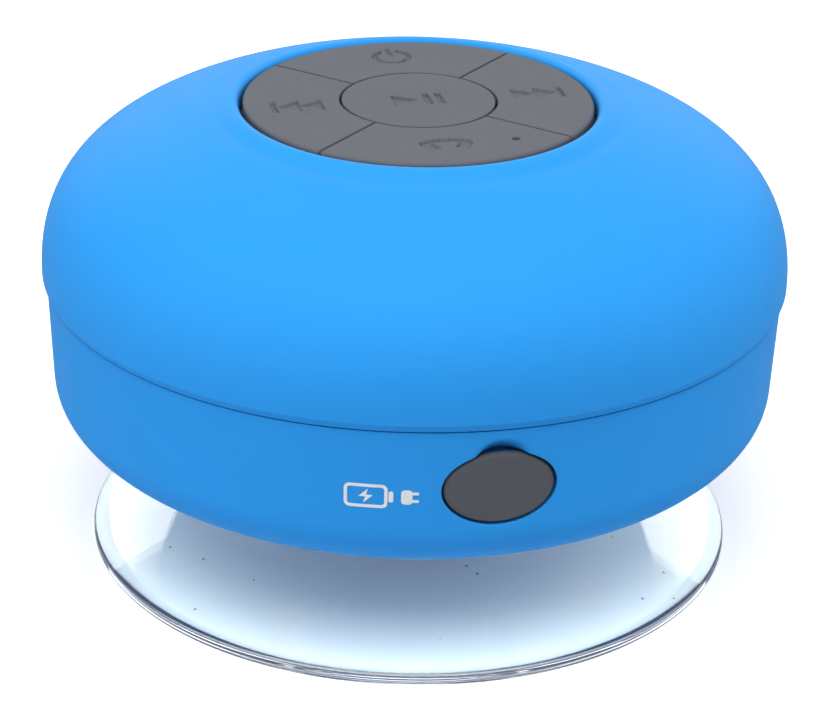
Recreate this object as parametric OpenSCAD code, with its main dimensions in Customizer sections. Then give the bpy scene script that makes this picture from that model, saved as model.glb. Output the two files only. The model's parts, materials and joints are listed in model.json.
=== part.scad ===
// Small round wireless shower speaker with a suction cup.
// Origin: centre of the suction cup's sealing plane. +Z runs up the axis to the keypad,
// -Y faces the charging port and the call key, +X faces the next-track key.

/* [Casing] */
// Widest diameter of the domed top shell
body_d = 86; // [85.6:0.1:87]
// Height of the keypad opening's rim above the sealing plane
rim_z = 54.5; // [54.4:0.1:55]
// Diameter of the keypad opening
opening_d = 40.6; // [40.4:0.1:40.8]
// Height of the seam between the two shells
seam_z = 33.5; // [33.3:0.1:33.8]
// Height of the casing floor's underside
floor_z = 14.3; // [14.2:0.1:14.5]
// Casing wall thickness
wall = 2; // [1.8:0.1:2.1]

/* [Keypad] */
// How far the key tops sit below the rim
key_recess = 0.5; // [0.4:0.1:0.8]
// Diameter of the centre key
play_d = 17.4; // [16.8:0.1:17.6]
// Width of the slits between the keys
key_gap = 0.3; // [0.2:0.05:0.4]
// Distance of the outer keys' plungers from the axis
plunger_r = 14; // [13.5:0.1:14.5]
// Depth of the engraved key symbols
symbol_depth = 0.2; // [0.1:0.05:0.3]

/* [Suction cup] */
// Diameter of the cup's rim
cup_d = 76; // [72:0.5:78]
// Thickness of the cup's edge
cup_edge = 1.2; // [1:0.1:1.5]
// Diameter of the cup's neck
neck_d = 16; // [15.5:0.1:16.4]

/* [Charging port] */
// Width of the oval port plug
plug_w = 12; // [11.5:0.1:12.2]
// Height of the oval port plug
plug_h = 8.3; // [8.1:0.1:8.4]
// Height of the port's centre above the sealing plane
port_z = 26.4; // [26.3:0.1:26.5]

/* [Driver] */
// Diameter of the driver's flange
driver_d = 45; // [44.6:0.1:45.2]
// Diameter of the driver's magnet
magnet_d = 32; // [30:0.5:33]

/* [Battery] */
// Length, width and thickness of the cell
cell = [35, 28, 5]; // [4:0.5:36]

/* [Hidden] */
$fn = 96;
eps = 0.01;
body_r = body_d / 2;
opening_r = opening_d / 2;
curve_steps = 20;

// Casing outlines, as control points of cubic curves in radius and height
dome_curve = [[opening_r, rim_z], [opening_r + 9.5, rim_z - 3.55],
              [body_r, rim_z - 5.4], [body_r, seam_z + 1.4]];
lip_curve = [[body_r, seam_z + 1.4], [body_r, seam_z + 0.6],
             [body_r - 0.2, seam_z], [body_r - 0.7, seam_z]];
shoulder_r = body_r - 0.5;
base_r = body_r - 0.95;
heel_z = floor_z + 7.6;
heel_curve = [[base_r, heel_z], [base_r, heel_z - 4.7],
              [body_r - 6.2, floor_z], [body_r - 12.6, floor_z]];
crease_r = opening_r + 2.9;
land_z = rim_z - 2.9;
land_r = opening_r + 2.4;
land_step = 4;
floor_top = floor_z + 2;
seam_gap = 0.2;
tongue_z = seam_z + 2.5;
tongue_in = body_r - 3.1;
tongue_out = body_r - 2.2;

// Casing screws and their bosses, on the diagonals
boss_at = 32;
boss_r = 2.6;
well_r = 3.4;
screw_seat = floor_z + 4.1;
boss_foot = screw_seat + 2.2;

// Stack-up under the keypad
key_top = rim_z - key_recess;
key_t = 1.6;
key_out = opening_r - 0.4;
key_travel = 0.6;
stem_travel = 0.25;
web_t = 0.8;
web_z = land_z - web_t;
board_t = 1.2;
key_board_r = 28;
key_board_z = 47;
switch_h = 1.8;
switch_z = key_board_z + board_t;
stem_z = switch_z + switch_h;
stem_h = 0.7;
plunger_tip = stem_z + stem_h + key_travel - stem_travel + eps;
key_screw_at = 25.8;
mic_at = 15.8;
mic_angle = -60;

// Suction cup fixing
bore_r = 5.2;
bearing_gap = 0.05;
socket_r = 7.2;
socket_z = floor_z + 1.5;
socket_top = socket_z + 3.3;
hub_r = 9;
hub_top = socket_top + 1;
neck_r = neck_d / 2;
neck_top = floor_z - 0.1;
neck_foot = neck_top - 7.3;
cup_r = cup_d / 2;
rim_land = 2.4;
cup_boss_r = 12;
cup_boss_top = 9.6;

// Charging port and its plug, whose fold line lies just under the wall's surface.
// A ball-shaped scoop above the plug lets a fingernail reach the plug's thin upper lip.
port_r = wall_r(port_z);
port_open_w = 8.2;
port_open_h = 3.2;
recess_depth = 1.7;
plug_gap = 0.2;
plug_t = 1.5;
lip_t = 0.8;
lip_h = 1.1;
plug_top = port_z + plug_h / 2;
scoop_r = 3.7;
scoop_out = 2.2;
scoop_z = plug_top - 1.4;
fold_z = port_z - plug_h / 2 + 0.45;
fold_y = -(wall_r(fold_z) - 0.4);
fold_r = 0.36;
fold_w = 4.2;

// Main board
main_z = port_z - 2.5;
main_top = main_z + board_t;
main_post_x = 10;
main_post_y = -31;

// Driver stack
driver_r = driver_d / 2;
rib_z = floor_top + 1.2;
gasket_t = 0.8;
flange_z = rib_z + gasket_t;
flange_t = 0.8;
plate_z = flange_z + 9.7;
plate_t = 2;
magnet_h = 6;
magnet_z = plate_z + plate_t;
yoke_z = magnet_z + magnet_h;
yoke_t = 2;
coil_r = 6.6;
cone_out = 16.75;
cone_z = flange_z + 0.4;
cone_top = cone_z + 6.8;
pad_z = yoke_z + yoke_t;
pad_t = 1;
cell_z = pad_z + pad_t;

// Point on a cubic curve, its unit direction, and the point set in from it by a distance
function curve(c, t) = pow(1 - t, 3) * c[0] + 3 * pow(1 - t, 2) * t * c[1]
                     + 3 * (1 - t) * t * t * c[2] + t * t * t * c[3];
function slope(c, t) = let (d = pow(1 - t, 2) * (c[1] - c[0])
                              + 2 * (1 - t) * t * (c[2] - c[1]) + t * t * (c[3] - c[2]))
                       d / norm(d);
function inset(c, t, depth) = let (d = slope(c, t)) curve(c, t) + depth * [d[1], -d[0]];
function curve_points(c, depth = 0) =
    [for (i = [0:curve_steps]) inset(c, i / curve_steps, depth)];
function backwards(points) = [for (i = [len(points) - 1:-1:0]) points[i]];

// Outer radius of the lower wall at a height
function wall_r(z) = base_r + (shoulder_r - base_r) * (z - heel_z) / (seam_z - heel_z);

// Direction of each key seen from above, in degrees from +X
function key_angle(name) = name == "next" ? 0 : name == "power" ? 90
                         : name == "previous" ? 180 : 270;

module ring(r_in, r_out, z, h) {
    translate([0, 0, z]) rotate_extrude() translate([r_in, 0]) square([r_out - r_in, h]);
}

module disc(r, z, h) {
    translate([0, 0, z]) cylinder(r = r, h = h);
}

module block(size, at) {
    translate(at) translate([-size[0] / 2, -size[1] / 2, 0]) cube(size);
}

module around(radius, count, first = 0) {
    for (i = [0:count - 1])
        rotate([0, 0, first + i * 360 / count]) translate([radius, 0, 0]) children();
}

module screw(head_r, head_h, shank_r, shank_h) {
    difference() {
        union() {
            translate([0, 0, -head_h]) cylinder(r = head_r, h = head_h, $fn = 32);
            cylinder(r = shank_r, h = shank_h, $fn = 32);
        }
        for (turn = [0, 90]) rotate([0, 0, turn])
            block([head_r * 1.2, head_r * 0.25, head_h * 0.6], [0, 0, -head_h - eps]);
    }
}

module wire(points, radius) {
    for (i = [0:len(points) - 2]) {
        step = points[i + 1] - points[i];
        translate(points[i])
            rotate([0, acos(step[2] / norm(step)), atan2(step[1], step[0])])
                cylinder(r = radius, h = norm(step), $fn = 16);
        translate(points[i + 1]) sphere(r = radius * 1.06, $fn = 16);
    }
}

// ---- Casing ----

module dome_inside(depth) {
    rotate_extrude() polygon(concat([[0, rim_z - depth - 0.6], [opening_r, rim_z - depth - 0.6]],
        [for (i = [2:curve_steps]) inset(dome_curve, i / curve_steps, depth)],
        [[body_r - depth, floor_z], [0, floor_z]]));
}

module top_shell() {
    inner = backwards(curve_points(dome_curve, wall));
    color("DodgerBlue") difference() {
        union() {
            rotate_extrude() polygon(concat(curve_points(dome_curve),
                [for (t = [0.25:0.25:1]) curve(lip_curve, t)],
                [[body_r - wall, seam_z]],
                [for (i = [0:curve_steps - land_step]) inner[i]],
                [[land_r, land_z], [opening_r, land_z]]));
            intersection() {
                dome_inside(1);
                union() {
                    around(boss_at, 4, 45) disc(boss_r, boss_foot, rim_z - boss_foot);
                    around(boss_at + 4.5, 4, 45) block([8, 1.2, 20], [0, 0, tongue_z + 1]);
                    around(key_screw_at, 4) disc(2.2, switch_z, 6);
                }
            }
        }
        around(boss_at, 4, 45) disc(1.05, boss_foot - eps, 8);
        around(key_screw_at, 4) disc(0.85, switch_z - eps, 2.2);
        translate([0, 0, curve(dome_curve, 0.11)[1] + 0.3])
            rotate_extrude() translate([crease_r, 0]) circle(r = 0.4, $fn = 24);
    }
}

module wall_solid(shrink) {
    rotate_extrude() polygon([[0, heel_z - 1], [wall_r(heel_z - 1) - shrink, heel_z - 1],
                              [shoulder_r - shrink, seam_z], [0, seam_z]]);
}

module oval_prism(w, h) {
    translate([0, 0, port_z]) rotate([90, 0, 0]) linear_extrude(height = body_r)
        polygon([for (a = [0:7.5:352.5]) [w / 2 * cos(a), h / 2 * sin(a)]]);
}

module port_cuts() {
    difference() {
        oval_prism(plug_w + 2 * plug_gap, plug_h + 2 * plug_gap);
        disc(port_r - recess_depth, 0, rim_z);
    }
    translate([0, fold_y, fold_z]) rotate([0, 90, 0])
        cylinder(r = fold_r + 0.09, h = fold_w + 0.4, center = true);
    block([port_open_w, 8, port_open_h],
          [0, -port_r + recess_depth - 0.5, port_z - port_open_h / 2]);
    translate([0, -port_r - scoop_out, scoop_z]) sphere(r = scoop_r);
}

module sound_slot() {
    translate([10.8, -0.8, floor_z - 1]) cube([7.6, 1.6, 4]);
    translate([10.8, 0, floor_z - 1]) cylinder(r = 0.8, h = 4, $fn = 24);
    translate([18.4, 0, floor_z - 1]) cylinder(r = 0.8, h = 4, $fn = 24);
}

module lower_shell() {
    color("DodgerBlue") difference() {
        union() {
            rotate_extrude() polygon(concat([[shoulder_r, seam_z - seam_gap]],
                curve_points(heel_curve),
                [[bore_r, floor_z], [bore_r, socket_z], [socket_r, socket_z],
                 [socket_r, socket_top], [0, socket_top], [0, hub_top], [hub_r, hub_top],
                 [hub_r, floor_top], [body_r - 13, floor_top]],
                backwards(curve_points(heel_curve, wall)),
                [[tongue_in, tongue_z], [tongue_out, tongue_z],
                 [tongue_out, tongue_z - 0.5], [tongue_out - 0.7, tongue_z - 0.5],
                 [tongue_out - 0.7, tongue_z - 1.7], [tongue_out, tongue_z - 1.7],
                 [tongue_out, seam_z - seam_gap]]));
            ring(driver_r - 2.7, driver_r - 0.2, floor_top - 0.2, 1.4);
            around(boss_at, 4, 45) disc(well_r, floor_z + 0.9, boss_foot - floor_z - 1.1);
            around(driver_r + 2.2, 4) disc(2, floor_top - 0.2, flange_z + flange_t - floor_top + 0.2);
            for (side = [-1, 1]) translate([side * main_post_x, main_post_y, 0])
                disc(2.2, floor_top - 0.3, main_z - floor_top + 0.3);
            intersection() {
                block([18, 3.4, 11], [0, -port_r + 2.9, port_z - 5]);
                disc(port_r - 1, 0, rim_z);
            }
        }
        port_cuts();
        around(15, 16) translate([-15, 0, 0]) sound_slot();
        around(boss_at, 4, 45) {
            disc(2.5, floor_z - 1, screw_seat - floor_z + 1);
            disc(1.3, floor_z, 10);
        }
        around(driver_r + 2.2, 4) disc(0.85, floor_top + 0.2, 6);
        for (side = [-1, 1]) translate([side * main_post_x, main_post_y, 0])
            disc(0.85, floor_top + 1, 10);
    }
}

module casing_seal() {
    color("DimGray") translate([0, 0, tongue_z - 1.1]) rotate_extrude()
        translate([tongue_out - 0.26, 0]) circle(r = 0.42, $fn = 24);
}

module case_screws() {
    color("Silver") around(boss_at, 4, 45) translate([0, 0, screw_seat])
        screw(2.2, 1.8, 1, 8.6);
}

// ---- Keypad ----

module membrane_holes() {
    disc(1.8, web_z - 5, 10);
    around(plunger_r, 4) disc(1.8, web_z - 5, 10);
    rotate([0, 0, mic_angle]) translate([mic_at, 0, 0]) disc(0.6, web_z - 5, 10);
}

module keypad_membrane() {
    color("DimGray") difference() {
        union() {
            disc(opening_r + 2.1, web_z, web_t);
            ring(opening_r + 0.4, opening_r + 2.1, switch_z, web_z - switch_z + eps);
        }
        membrane_holes();
    }
}

module plunger() {
    disc(1.5, plunger_tip, key_top - key_t - plunger_tip + eps);
}

module symbol() {
    translate([0, 0, key_top - symbol_depth]) linear_extrude(height = symbol_depth + eps)
        children();
}

module arrow(length, width) {
    polygon([[-length / 2, -width / 2], [length / 2, 0], [-length / 2, width / 2]]);
}

module key_play() {
    color("DimGray") difference() {
        union() {
            disc(play_d / 2, key_top - key_t, key_t);
            plunger();
        }
        symbol() translate([-1.5, 0]) arrow(2.8, 3.2);
        symbol() for (x = [0.7, 2.1]) translate([x, -1.6]) square([0.7, 3.2]);
    }
}

module outer_key(name) {
    rotate([0, 0, key_angle(name)]) {
        intersection() {
            ring(play_d / 2 + key_gap, key_out, key_top - key_t, key_t);
            linear_extrude(height = rim_z)
                polygon([[key_gap * 0.7071, 0], [30 + key_gap * 0.7071, -30],
                         [30 + key_gap * 0.7071, 30]]);
        }
        translate([plunger_r, 0, 0]) plunger();
    }
}

module key_power() {
    color("DimGray") difference() {
        outer_key("power");
        symbol() translate([0, plunger_r + 0.6]) {
            difference() {
                circle(r = 2.3, $fn = 48);
                circle(r = 1.7, $fn = 48);
                translate([-0.9, 0.6]) square([1.8, 3]);
            }
            translate([-0.3, 0.4]) square([0.6, 2.4]);
        }
    }
}

module key_call() {
    color("DimGray") difference() {
        outer_key("call");
        symbol() translate([0, -plunger_r + 0.4]) {
            for (side = [-1, 1]) translate([side * 2.1 - 0.7, -1.2]) square([1.4, 1.7]);
            difference() {
                translate([-2.8, 0.4]) square([5.6, 1.1]);
                translate([0, -1.2]) circle(r = 1.7, $fn = 48);
            }
        }
        rotate([0, 0, mic_angle]) translate([mic_at, 0, 0]) disc(0.4, web_z, 10);
    }
}

module skip_symbol() {
    for (x = [-1.75, 0.85]) translate([x, 0]) arrow(2.5, 3.2);
    translate([2.3, -1.6]) square([0.6, 3.2]);
}

module key_previous() {
    color("DimGray") difference() {
        outer_key("previous");
        symbol() translate([-plunger_r, 0]) rotate(180) skip_symbol();
    }
}

module key_next() {
    color("DimGray") difference() {
        outer_key("next");
        symbol() translate([plunger_r, 0]) skip_symbol();
    }
}

// ---- Key board ----

module at_switches() {
    children();
    around(plunger_r, 4) children();
}

module key_board() {
    color("SeaGreen") difference() {
        disc(key_board_r, key_board_z, board_t);
        around(key_screw_at, 4) disc(1.1, key_board_z - 1, 4);
    }
}

module key_board_screws() {
    color("Silver") around(key_screw_at, 4) translate([0, 0, key_board_z])
        screw(1.7, 1, 0.8, 3.2);
}

module switch_bodies() {
    color("Gainsboro") at_switches() difference() {
        block([4.4, 4.4, switch_h], [0, 0, switch_z]);
        disc(0.9, switch_z + 1, switch_h);
    }
}

module switch_stem() {
    color("Black") disc(0.8, stem_z - 0.5, stem_h + 0.5);
}

module switch_stem_play() { switch_stem(); }
module switch_stem_power() { translate([0, plunger_r, 0]) switch_stem(); }
module switch_stem_call() { translate([0, -plunger_r, 0]) switch_stem(); }
module switch_stem_previous() { translate([-plunger_r, 0, 0]) switch_stem(); }
module switch_stem_next() { translate([plunger_r, 0, 0]) switch_stem(); }

module microphone() {
    color("Silver") rotate([0, 0, mic_angle]) translate([mic_at, 0, 0])
        disc(1, switch_z, 1.4);
}

module microphone_boot() {
    color("Black") rotate([0, 0, mic_angle]) translate([mic_at, 0, 0]) difference() {
        disc(1.7, switch_z, web_z - switch_z);
        disc(1.02, switch_z - eps, 1.45);
        disc(0.5, switch_z, 5);
    }
}

module status_led() {
    color("White") rotate([0, 0, -120]) block([1.6, 0.8, 0.6], [mic_at, 0, switch_z]);
}

// ---- Charging port ----

module port_plug() {
    color("DimGray") union() {
        difference() {
            intersection() {
                wall_solid(0.1);
                oval_prism(plug_w, plug_h);
            }
            disc(port_r - plug_t, 0, rim_z);
            intersection() {
                disc(port_r - lip_t, plug_top - lip_h, lip_h + 1);
                oval_prism(plug_w, plug_h + 1);
            }
            block([plug_w, 8, 2], [0, fold_y, fold_z - 1.65]);
        }
        intersection() {
            wall_solid(0.1);
            block([fold_w, 0.6, 0.7], [0, fold_y, fold_z - 0.1]);
        }
        translate([0, fold_y, fold_z]) rotate([0, 90, 0])
            cylinder(r = fold_r, h = fold_w, center = true, $fn = 32);
        block([7, 1.1, 1.6], [0, -port_r + plug_t + 0.35, port_z - 0.8]);
    }
}

module usb_shell() {
    color("Silver") difference() {
        block([7.5, 5.6, 2.6], [0, -36.6, main_top]);
        block([6.9, 5, 1.9], [0, -36.9 - eps, main_top + 0.35]);
    }
}

module usb_tongue() {
    color("Black") block([4.6, 3.8, 0.6], [0, -36.3 - eps, main_top + 1.2]);
}

// ---- Main board ----

module main_board() {
    color("SeaGreen") difference() {
        block([26, 13, board_t], [0, -30.5, main_z]);
        for (side = [-1, 1]) translate([side * main_post_x, main_post_y, main_z - 1])
            cylinder(r = 1.1, h = 4, $fn = 32);
    }
}

module main_board_screws() {
    color("Silver") for (side = [-1, 1])
        translate([side * main_post_x, main_post_y, main_top]) mirror([0, 0, 1])
            screw(1.7, 1, 0.8, 5);
}

module radio_chip() {
    color("Black") block([5, 5, 0.9], [3.4, -30, main_top]);
}

module amplifier_chip() {
    color("Black") block([4, 5, 1.4], [-1.6, -30, main_top]);
}

module smoothing_capacitor() {
    color("Silver") translate([-6, -31.5, 0]) disc(1.6, main_top, 3.4);
}

module wire_connectors() {
    color("Ivory") {
        block([5, 3, 2.2], [-9, -26, main_top]);
        block([5, 3, 2.2], [9, -26, main_top]);
    }
}

// ---- Battery ----

module battery() {
    color("Silver") block(cell, [0, 0, cell_z]);
}

module battery_pad() {
    color("Gray") disc(magnet_d / 2 - 2, pad_z, pad_t);
}

module cell_guard_board() {
    color("SeaGreen") block([2.4, 20, 1], [-cell[0] / 2 - 1.2, 0, cell_z + 1.5]);
}

// ---- Driver ----

module speaker_basket() {
    frame_top = plate_z - flange_z;
    color("DimGray") translate([0, 0, flange_z]) difference() {
        rotate_extrude() polygon([[driver_r - 3.2, 0], [driver_r, 0], [driver_r, flange_t],
            [driver_r - 1.3, flange_t], [14.6, frame_top], [8.2, frame_top],
            [8.2, frame_top - 0.6], [12.8, frame_top - 0.6], [12.8, frame_top - 1],
            [14, frame_top - 1], [driver_r - 3.2, flange_t + 0.4]]);
        around(17, 4, 45) block([14, 12, 4.6], [0, 0, 2.4]);
    }
}

module speaker_gasket() {
    color("Black") ring(driver_r - 2.7, driver_r - 0.2, rib_z, gasket_t);
}

module speaker_screws() {
    color("Silver") around(driver_r + 2.2, 4)
        translate([0, 0, flange_z + flange_t]) mirror([0, 0, 1]) screw(2.6, 1.2, 0.8, 2.2);
}

module speaker_surround() {
    roll_r = (driver_r - 3.2 - cone_out) / 2;
    color("Black") translate([0, 0, cone_z]) rotate_extrude() intersection() {
        translate([cone_out + roll_r, 0]) difference() {
            circle(r = roll_r, $fn = 48);
            circle(r = roll_r - 0.3, $fn = 48);
        }
        translate([cone_out, -2]) square([2 * roll_r, 2]);
    }
}

module speaker_cone() {
    color("DarkSlateGray") rotate_extrude() polygon([[cone_out, cone_z - 0.4],
        [cone_out, cone_z + 0.1], [coil_r + 0.3, cone_top], [coil_r + 0.3, cone_top - 0.5]]);
}

module dust_cap() {
    sag = 1.6;
    cap_r = coil_r - 0.05;
    sphere_r = (cap_r * cap_r + sag * sag) / (2 * sag);
    color("Black") translate([0, 0, cone_top - 0.6]) intersection() {
        translate([0, 0, sphere_r - sag]) difference() {
            sphere(r = sphere_r);
            sphere(r = sphere_r - 0.3);
        }
        translate([0, 0, -sag]) cylinder(r = cap_r, h = sag);
    }
}

module voice_coil() {
    color("Peru") union() {
        ring(coil_r, coil_r + 0.3, cone_top - 0.9, magnet_z + 1.4 - cone_top);
        ring(coil_r + 0.2, coil_r + 0.7, plate_z + 0.3, plate_t + 0.2);
    }
}

module spider() {
    spider_in = coil_r + 0.35;
    spider_out = 13.9;
    spider_z = plate_z - 1.5;
    steps = 40;
    edge = [for (i = [0:steps]) [spider_in + (spider_out - spider_in) * i / steps,
                                 spider_z + 0.2 * sin(i * 36)]];
    color("Goldenrod") rotate_extrude()
        polygon(concat(edge, backwards([for (p = edge) p + [0, 0.25]])));
}

module top_plate() {
    color("Silver") ring(coil_r + 1, magnet_d / 2 - 1, plate_z, plate_t);
}

module magnet() {
    color("DimGray") ring(coil_r + 1.9, magnet_d / 2, magnet_z, magnet_h);
}

module yoke() {
    color("Silver") union() {
        disc(magnet_d / 2, yoke_z, yoke_t);
        disc(coil_r - 0.3, plate_z, yoke_z - plate_z + eps);
    }
}

module speaker_terminals() {
    color("Peru") block([8, 0.8, 3], [0, -driver_r + 1, flange_z + 2.4]);
}

module acoustic_mesh() {
    color("Black") ring(hub_r + 0.1, driver_r - 2.8, floor_top, 0.2);
}

// ---- Wires ----

module speaker_wires() {
    start_z = flange_z + 4.6;
    color("Red") for (x = [-2, 2])
        wire([[x, -driver_r + 0.1, start_z], [x, -23.6, main_top + 0.6],
              [x, -25.6, main_top + 0.4]], 0.35);
}

module battery_wires() {
    color("Red") for (shift = [-0.6, 0.6]) translate([shift, shift, 0])
        wire([[-cell[0] / 2 - 3.5, -6, cell_z + 2], [-23, -10, 33],
              [-13.5, -24, main_top + 5], [-9, -26, main_top + 2.7]], 0.4);
}

module key_board_wires() {
    color("Ivory") for (shift = [-1.2, 0, 1.2])
        wire([[12 + shift, -19, key_board_z - 0.45], [12 + shift, -20.5, 43],
              [9 + shift, -25.5, main_top + 4], [9 + shift, -26, main_top + 2.6]], 0.35);
}

// ---- Suction cup ----

module cup_neck() {
    head_r = 6.8;
    color("LightSteelBlue") rotate_extrude() polygon([[0, neck_foot], [neck_r, neck_foot],
        [neck_r, neck_top], [bore_r - bearing_gap, neck_top],
        [bore_r - bearing_gap, socket_z + 0.1], [head_r, socket_z + 0.1],
        [head_r, socket_z + 1], [head_r - 1.8, socket_z + 3], [0, socket_z + 3]]);
}

module cup_skirt() {
    crown = [[cup_r - 0.4, cup_edge], [cup_r - 8, 4.6], [22, cup_boss_top - 1], [cup_boss_r, cup_boss_top]];
    vault = [[cup_r - rim_land, 0], [cup_r - 9.5, 3], [21, 6.4], [neck_r + bearing_gap, 6.8]];
    color("LightSteelBlue") rotate_extrude() polygon(concat(
        [[cup_r - 0.3, 0], [cup_r, 0.3], [cup_r, cup_edge - 0.3]],
        curve_points(crown),
        [[neck_r + bearing_gap, cup_boss_top]],
        backwards(curve_points(vault))));
}

top_shell();
lower_shell();
casing_seal();
case_screws();
keypad_membrane();
key_play();
key_power();
key_call();
key_previous();
key_next();
key_board();
key_board_screws();
switch_bodies();
switch_stem_play();
switch_stem_power();
switch_stem_call();
switch_stem_previous();
switch_stem_next();
microphone();
microphone_boot();
status_led();
port_plug();
usb_shell();
usb_tongue();
main_board();
main_board_screws();
radio_chip();
amplifier_chip();
smoothing_capacitor();
wire_connectors();
battery();
battery_pad();
cell_guard_board();
speaker_basket();
speaker_gasket();
speaker_screws();
speaker_surround();
speaker_cone();
dust_cap();
voice_coil();
spider();
top_plate();
magnet();
yoke();
speaker_terminals();
acoustic_mesh();
speaker_wires();
battery_wires();
key_board_wires();
cup_neck();
cup_skirt();
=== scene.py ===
"""Shower speaker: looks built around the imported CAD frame.

Shapes are worked out in millimetres from the frame's own boxes, and written out in metres.
Heights run up +Z from the suction cup's sealing plane, and the charging port faces -Y.
"""
import json
import math

import bmesh
import bpy
import numpy as np
from mathutils import Matrix, Vector


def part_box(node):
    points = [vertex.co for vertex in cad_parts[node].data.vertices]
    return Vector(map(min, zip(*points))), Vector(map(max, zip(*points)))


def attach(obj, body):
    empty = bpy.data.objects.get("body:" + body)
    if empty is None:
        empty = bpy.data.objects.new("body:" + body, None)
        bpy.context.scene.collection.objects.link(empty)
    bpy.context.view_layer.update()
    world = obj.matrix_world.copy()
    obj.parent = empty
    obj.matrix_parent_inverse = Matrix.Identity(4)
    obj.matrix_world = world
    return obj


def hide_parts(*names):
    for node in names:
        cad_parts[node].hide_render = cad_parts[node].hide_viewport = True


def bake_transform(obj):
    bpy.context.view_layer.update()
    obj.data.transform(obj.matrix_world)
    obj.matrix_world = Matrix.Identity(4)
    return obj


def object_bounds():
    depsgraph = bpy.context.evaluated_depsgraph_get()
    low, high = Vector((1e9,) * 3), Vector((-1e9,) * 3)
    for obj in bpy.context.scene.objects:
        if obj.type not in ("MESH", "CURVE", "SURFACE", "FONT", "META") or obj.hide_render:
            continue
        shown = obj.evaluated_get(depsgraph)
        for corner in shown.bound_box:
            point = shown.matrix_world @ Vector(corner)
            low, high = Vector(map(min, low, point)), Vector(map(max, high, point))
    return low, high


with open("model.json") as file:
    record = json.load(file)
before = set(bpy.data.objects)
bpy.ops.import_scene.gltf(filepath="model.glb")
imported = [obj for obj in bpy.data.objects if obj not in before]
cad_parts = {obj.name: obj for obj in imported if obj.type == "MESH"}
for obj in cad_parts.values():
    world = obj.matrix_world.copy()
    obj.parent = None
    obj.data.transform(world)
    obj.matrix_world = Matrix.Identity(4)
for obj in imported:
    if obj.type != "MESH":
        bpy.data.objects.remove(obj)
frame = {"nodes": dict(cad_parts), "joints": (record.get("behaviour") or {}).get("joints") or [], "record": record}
cad_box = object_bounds()

MM = 0.001
TAU = 2 * math.pi


# ---- Dimensions, in millimetres, read from the frame ----

def span(node):
    """Lowest and highest corner of a CAD node."""
    low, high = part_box(node)
    return np.array(low) / MM, np.array(high) / MM


def joint_place(name):
    """The point that a joint turns about."""
    joint = next(j for j in frame["joints"] if j["name"] == name)
    return np.array(joint["pos_m"]) / MM


BODY_R = span("top_shell")[1][0]
RIM_Z = span("top_shell")[1][2]
FLOOR_Z = span("lower_shell")[0][2]
TONGUE_Z = span("lower_shell")[1][2]
SEAM_Z = TONGUE_Z - 2.5
SHOULDER_Z = SEAM_Z - 0.1
SHOULDER_R = BODY_R - 0.5
BASE_R = BODY_R - 0.95
TONGUE_IN = BODY_R - 3.1
HEEL_Z = FLOOR_Z + 7.6
FLOOR_TOP = FLOOR_Z + 2
WALL = 2.0

KEY_TOP = span("key_next")[1][2]
KEY_OUT = span("key_next")[1][0]
KEY_FOOT = KEY_TOP - 1.6
PLAY_R = span("key_play")[1][0]
KEY_GAP = 0.3
PLUNGER_TIP = span("key_play")[0][2]
PLUNGER_AT = 14.0
PLUNGER_R = 1.5
SYMBOL_DEPTH = 0.28
OPENING_R = KEY_OUT + 0.4
LAND_Z = span("keypad_membrane")[1][2]
CREASE_R = OPENING_R + 2.9
MIC_AT = 15.8
MIC_ANGLE = math.radians(-60)
MIC_X, MIC_Y = MIC_AT * math.cos(MIC_ANGLE), MIC_AT * math.sin(MIC_ANGLE)

HUB_R = 9.0
HUB_TOP = span("cup_neck")[1][2] + 1.3
SOCKET_TOP = HUB_TOP - 1
SOCKET_Z = FLOOR_Z + 1.5
SOCKET_R = 7.2
BORE_R = 5.2
BOSS_AT = 32.0
BOARD_BOSS_AT = 25.8
PILOT_R = 0.85
SCREW_SEAT = span("case_screws")[0][2] + 1.8
BOSS_FOOT = SCREW_SEAT + 2.2

PORT_Z = frame["record"]["mounts"][1]["pos_m"][2] / MM
PLUG_W = span("port_plug")[1][0] * 2
PLUG_TOP = span("port_plug")[1][2]
PLUG_H = 2 * (PLUG_TOP - PORT_Z)
PLUG_GAP = 0.2
PLUG_T = 1.5
RECESS = 1.7
SOCKET_SIZE = (8.2, 3.2, 0.7)
PAD_Y = -37.6
FOLD_Z = joint_place("plug_flap")[2]

CUP_R = span("cup_skirt")[1][0]
CUP_BOSS_TOP = span("cup_skirt")[1][2]
NECK_R = span("cup_neck")[1][0]
NECK_FOOT = span("cup_neck")[0][2]
STUD_TOP = span("cup_neck")[1][2]
CUP_EDGE = 1.2

# Control points (radius, height) of the cubic curves that shape the dome and the lower wall.
DOME_CURVE = [(OPENING_R, RIM_Z), (OPENING_R + 9.5, RIM_Z - 3.55),
              (BODY_R, RIM_Z - 5.4), (BODY_R, SEAM_Z + 1.4)]
HEEL_CURVE = [(BASE_R, HEEL_Z), (BASE_R, HEEL_Z - 4.7),
              (BODY_R - 6.2, FLOOR_Z), (BODY_R - 12.6, FLOOR_Z)]
# Faces round the casing, and angles round every closed outline.
COLUMNS = 480
OUTLINE_TURN = TAU * np.arange(720) / 720


# ---- Outlines ----

def bezier(controls, share):
    """Points on a cubic curve at shares from 0 to 1 of its run."""
    t = np.asarray(share, float)[:, None]
    a, b, c, d = (np.array(p, float) for p in controls)
    return (1 - t) ** 3 * a + 3 * (1 - t) ** 2 * t * b + 3 * (1 - t) * t * t * c + t ** 3 * d


def inset(points, depth):
    """A polyline moved sideways, to the right of its run."""
    run = np.gradient(points, axis=0)
    run /= np.linalg.norm(run, axis=1)[:, None]
    return points + depth * np.stack([run[:, 1], -run[:, 0]], 1)


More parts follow.
